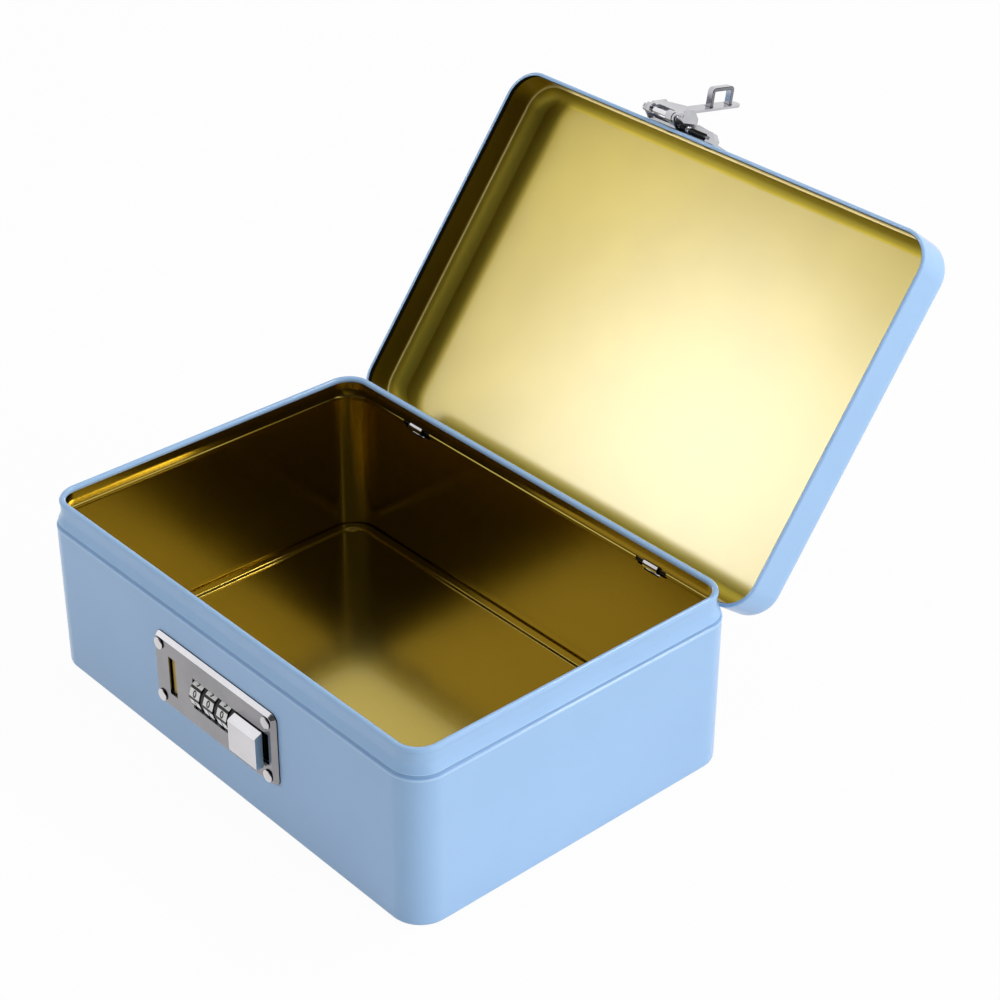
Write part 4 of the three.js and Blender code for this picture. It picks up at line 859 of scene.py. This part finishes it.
def fine_metal():
    lock_plate()
    facing, knuckle = 0.9, 2.3
    knob = refined("slide_knob", CHROME_AND_HIGHLIGHT, 0.25, 3)
    # Painted reflection of the blue wall on the knob's right side, and painted shade on its front
    # face
    painted(knob, KNOB_SIDE_REFLECTION, lambda c, n: n.x > facing)
    painted(knob, KNOB_FACE_SHADE, lambda c, n: n.y < -facing)
    for i in range(1, 5):
        plate_rivet(i)
        lid_rivet(f"hinge_rivet_{i}", RIVET)
        refined(f"wheel_spacer_{i}", BLACK_PLASTIC_AND_SHADE, 0.1)
    for i in (1, 2):
        lid_rivet(f"hasp_rivet_{i}", CHROME_AND_HIGHLIGHT)
    for node in ("hasp_base", "hasp_flap"):
        refined(node, HASP_CHROME_DIMMED, 0.16, 3)
    staple()
    refined("hasp_pin", CHROME_AND_HIGHLIGHT, 0.2, sharp=60)
    refined("spring_rod", STEEL, 0.1, sharp=60)
    for side in ("left", "right"):
        refined(f"hinge_pin_{side}", BLACK_STEEL_AND_SHADE, 0.12, sharp=60)
        leaf = refined(f"hinge_leaf_{side}", HASP_CHROME_DIMMED, 0.12, sharp=50)
        painted(leaf, RIVET, lambda c, n: math.hypot(c.y - HINGE_Y, c.z - HINGE_Z) < knuckle)
    refined("wheel_spindle", STEEL, 0.1, sharp=60)
    refined("detent_spring", STEEL, 0.05)
    lock_inside()


body_shell()
hinge_loops()
bottom_panel()
lid_shell()
springs()
dial_wheels()
fine_metal()


# ---------------------------------------------------------------- stage and light, in metres
FLOOR_HALF, FLOOR_DROP, FLOOR_TONE = 6.0, 0.0002, 0.74
FLOOR_SEEN, FLOOR_MIRRORED = 0.96, 0.9
WORLD_TINT, WORLD_DIM = (0.93, 0.98, 1, 1), 0.42
OPEN_TOWARDS, OPEN_FROM, OPEN_FULL, OPEN_SIDE = (0.45, -0.75, 0.48), 0.45, 0.7, 0.06
WHITE = (1, 1, 1, 1)


def seen(tree, camera, gloss):
    """A factor that is camera for camera rays, gloss for reflected rays and 1 through glass."""
    path = tree.nodes.new("ShaderNodeLightPath")
    most = None
    for output, share in (("Is Camera Ray", camera), ("Is Glossy Ray", gloss),
                          ("Is Transmission Ray", 1.0)):
        times = tree.nodes.new("ShaderNodeMath")
        times.operation = "MULTIPLY"
        tree.links.new(path.outputs[output], times.inputs[0])
        if isinstance(share, float):
            times.inputs[1].default_value = share
        else:
            tree.links.new(share, times.inputs[1])
        if most is None:
            most = times.outputs[0]
            continue
        larger = tree.nodes.new("ShaderNodeMath")
        larger.operation = "MAXIMUM"
        tree.links.new(most, larger.inputs[0])
        tree.links.new(times.outputs[0], larger.inputs[1])
        most = larger.outputs[0]
    return most


def stage():
    """A pale floor that looks white to the camera and in reflections."""
    mesh = bpy.data.meshes.new("floor")
    half = FLOOR_HALF
    mesh.from_pydata([(-half, -half, 0), (half, -half, 0), (half, half, 0), (-half, half, 0)],
                     [], [(0, 1, 2, 3)])
    floor = bpy.data.objects.new("floor", mesh)
    bpy.context.scene.collection.objects.link(floor)
    floor.location.z = -FLOOR_DROP
    material = bpy.data.materials.new("floor")
    material.use_nodes = True
    tree = material.node_tree
    tree.nodes.clear()
    out = tree.nodes.new("ShaderNodeOutputMaterial")
    mix = tree.nodes.new("ShaderNodeMixShader")
    plain = tree.nodes.new("ShaderNodeBsdfDiffuse")
    plain.inputs["Color"].default_value = (FLOOR_TONE, FLOOR_TONE, FLOOR_TONE, 1)
    glow = tree.nodes.new("ShaderNodeEmission")
    glow.inputs["Color"].default_value = WHITE
    glow.inputs["Strength"].default_value = 1.0
    tree.links.new(seen(tree, FLOOR_SEEN, FLOOR_MIRRORED), mix.inputs["Fac"])
    tree.links.new(plain.outputs[0], mix.inputs[1])
    tree.links.new(glow.outputs[0], mix.inputs[2])
    tree.links.new(mix.outputs[0], out.inputs["Surface"])
    mesh.materials.append(material)


def set_world():
    """A white studio, dim for diffuse light and dark in reflections on its open side."""
    world = bpy.data.worlds.new("studio")
    bpy.context.scene.world = world
    world.use_nodes = True
    tree = world.node_tree
    tree.nodes.clear()
    out = tree.nodes.new("ShaderNodeOutputWorld")
    mix = tree.nodes.new("ShaderNodeMixShader")
    dim = tree.nodes.new("ShaderNodeBackground")
    dim.inputs["Color"].default_value = WORLD_TINT
    path = tree.nodes.new("ShaderNodeLightPath")
    level = tree.nodes.new("ShaderNodeMapRange")
    level.inputs["To Min"].default_value = WORLD_DIM
    level.inputs["To Max"].default_value = 0
    tree.links.new(path.outputs["Is Glossy Ray"], level.inputs["Value"])
    tree.links.new(level.outputs["Result"], dim.inputs["Strength"])
    white = tree.nodes.new("ShaderNodeBackground")
    white.inputs["Color"].default_value = WHITE
    white.inputs["Strength"].default_value = 1.0
    coords = tree.nodes.new("ShaderNodeTexCoord")
    dot = tree.nodes.new("ShaderNodeVectorMath")
    dot.operation = "DOT_PRODUCT"
    dot.inputs[1].default_value = Vector(OPEN_TOWARDS).normalized()
    tree.links.new(coords.outputs["Generated"], dot.inputs[0])
    open_side = tree.nodes.new("ShaderNodeMapRange")
    open_side.inputs["From Min"].default_value = OPEN_FROM
    open_side.inputs["From Max"].default_value = OPEN_FULL
    open_side.inputs["To Min"].default_value = 1.0
    open_side.inputs["To Max"].default_value = OPEN_SIDE
    tree.links.new(dot.outputs["Value"], open_side.inputs["Value"])
    tree.links.new(seen(tree, 1.0, open_side.outputs["Result"]), mix.inputs["Fac"])
    tree.links.new(dim.outputs[0], mix.inputs[1])
    tree.links.new(white.outputs[0], mix.inputs[2])
    tree.links.new(mix.outputs[0], out.inputs["Surface"])


def softbox(name, place, target, size, power, mirrored=True):
    lamp = bpy.data.lights.new(name, "AREA")
    lamp.shape = "RECTANGLE"
    lamp.size, lamp.size_y = size
    lamp.energy = power
    holder = bpy.data.objects.new(name, lamp)
    bpy.context.scene.collection.objects.link(holder)
    holder.visible_glossy = mirrored
    holder.visible_camera = False
    holder.location = place
    aim = (Vector(target) - Vector(place)).to_track_quat("-Z", "Y")
    holder.rotation_euler = aim.to_euler()
    return holder


def lid_only(lamp, state):
    """Limits a lamp to the lid, or with EXCLUDE to everything else."""
    group = bpy.data.collections.new(lamp.name)
    group.objects.link(bpy.data.objects["lid_shell_painted"])
    group.collection_objects[0].light_linking.link_state = state
    lamp.light_linking.receiver_collection = group


stage()
set_world()
# The key is mirrored in the lid alone, and its twin lights everything else
KEY = ((-6.85, -7.89, 5.73), (0.054, 0.116, 0.083), (1.8, 1.8), 195)
lid_only(softbox("key", *KEY), "INCLUDE")
lid_only(softbox("key_plain", *KEY, mirrored=False), "EXCLUDE")
lid_only(softbox("crown", (-1.3, -1.82, 1.92), (0.08, 0.16, 0.15), (1.3, 1.3), 4), "INCLUDE")
softbox("rim", (0.25, 1.05, 1.5), (0, 0, 0.07), (0.9, 0.25), 9)
softbox("right", (1.75, 0.55, 0.6), (0, 0, 0.05), (1.3, 1.0), 23, mirrored=False)
softbox("front", (-0.55, -0.52, 0.25), (-0.1, -0.07, 0.03), (0.3, 0.3), 0.5, mirrored=False)
softbox("top", (0.1, 0.3, 1.9), (0, 0, 0), (1.4, 1.4), 4, mirrored=False)

bpy.context.scene.view_settings.view_transform = "Standard"
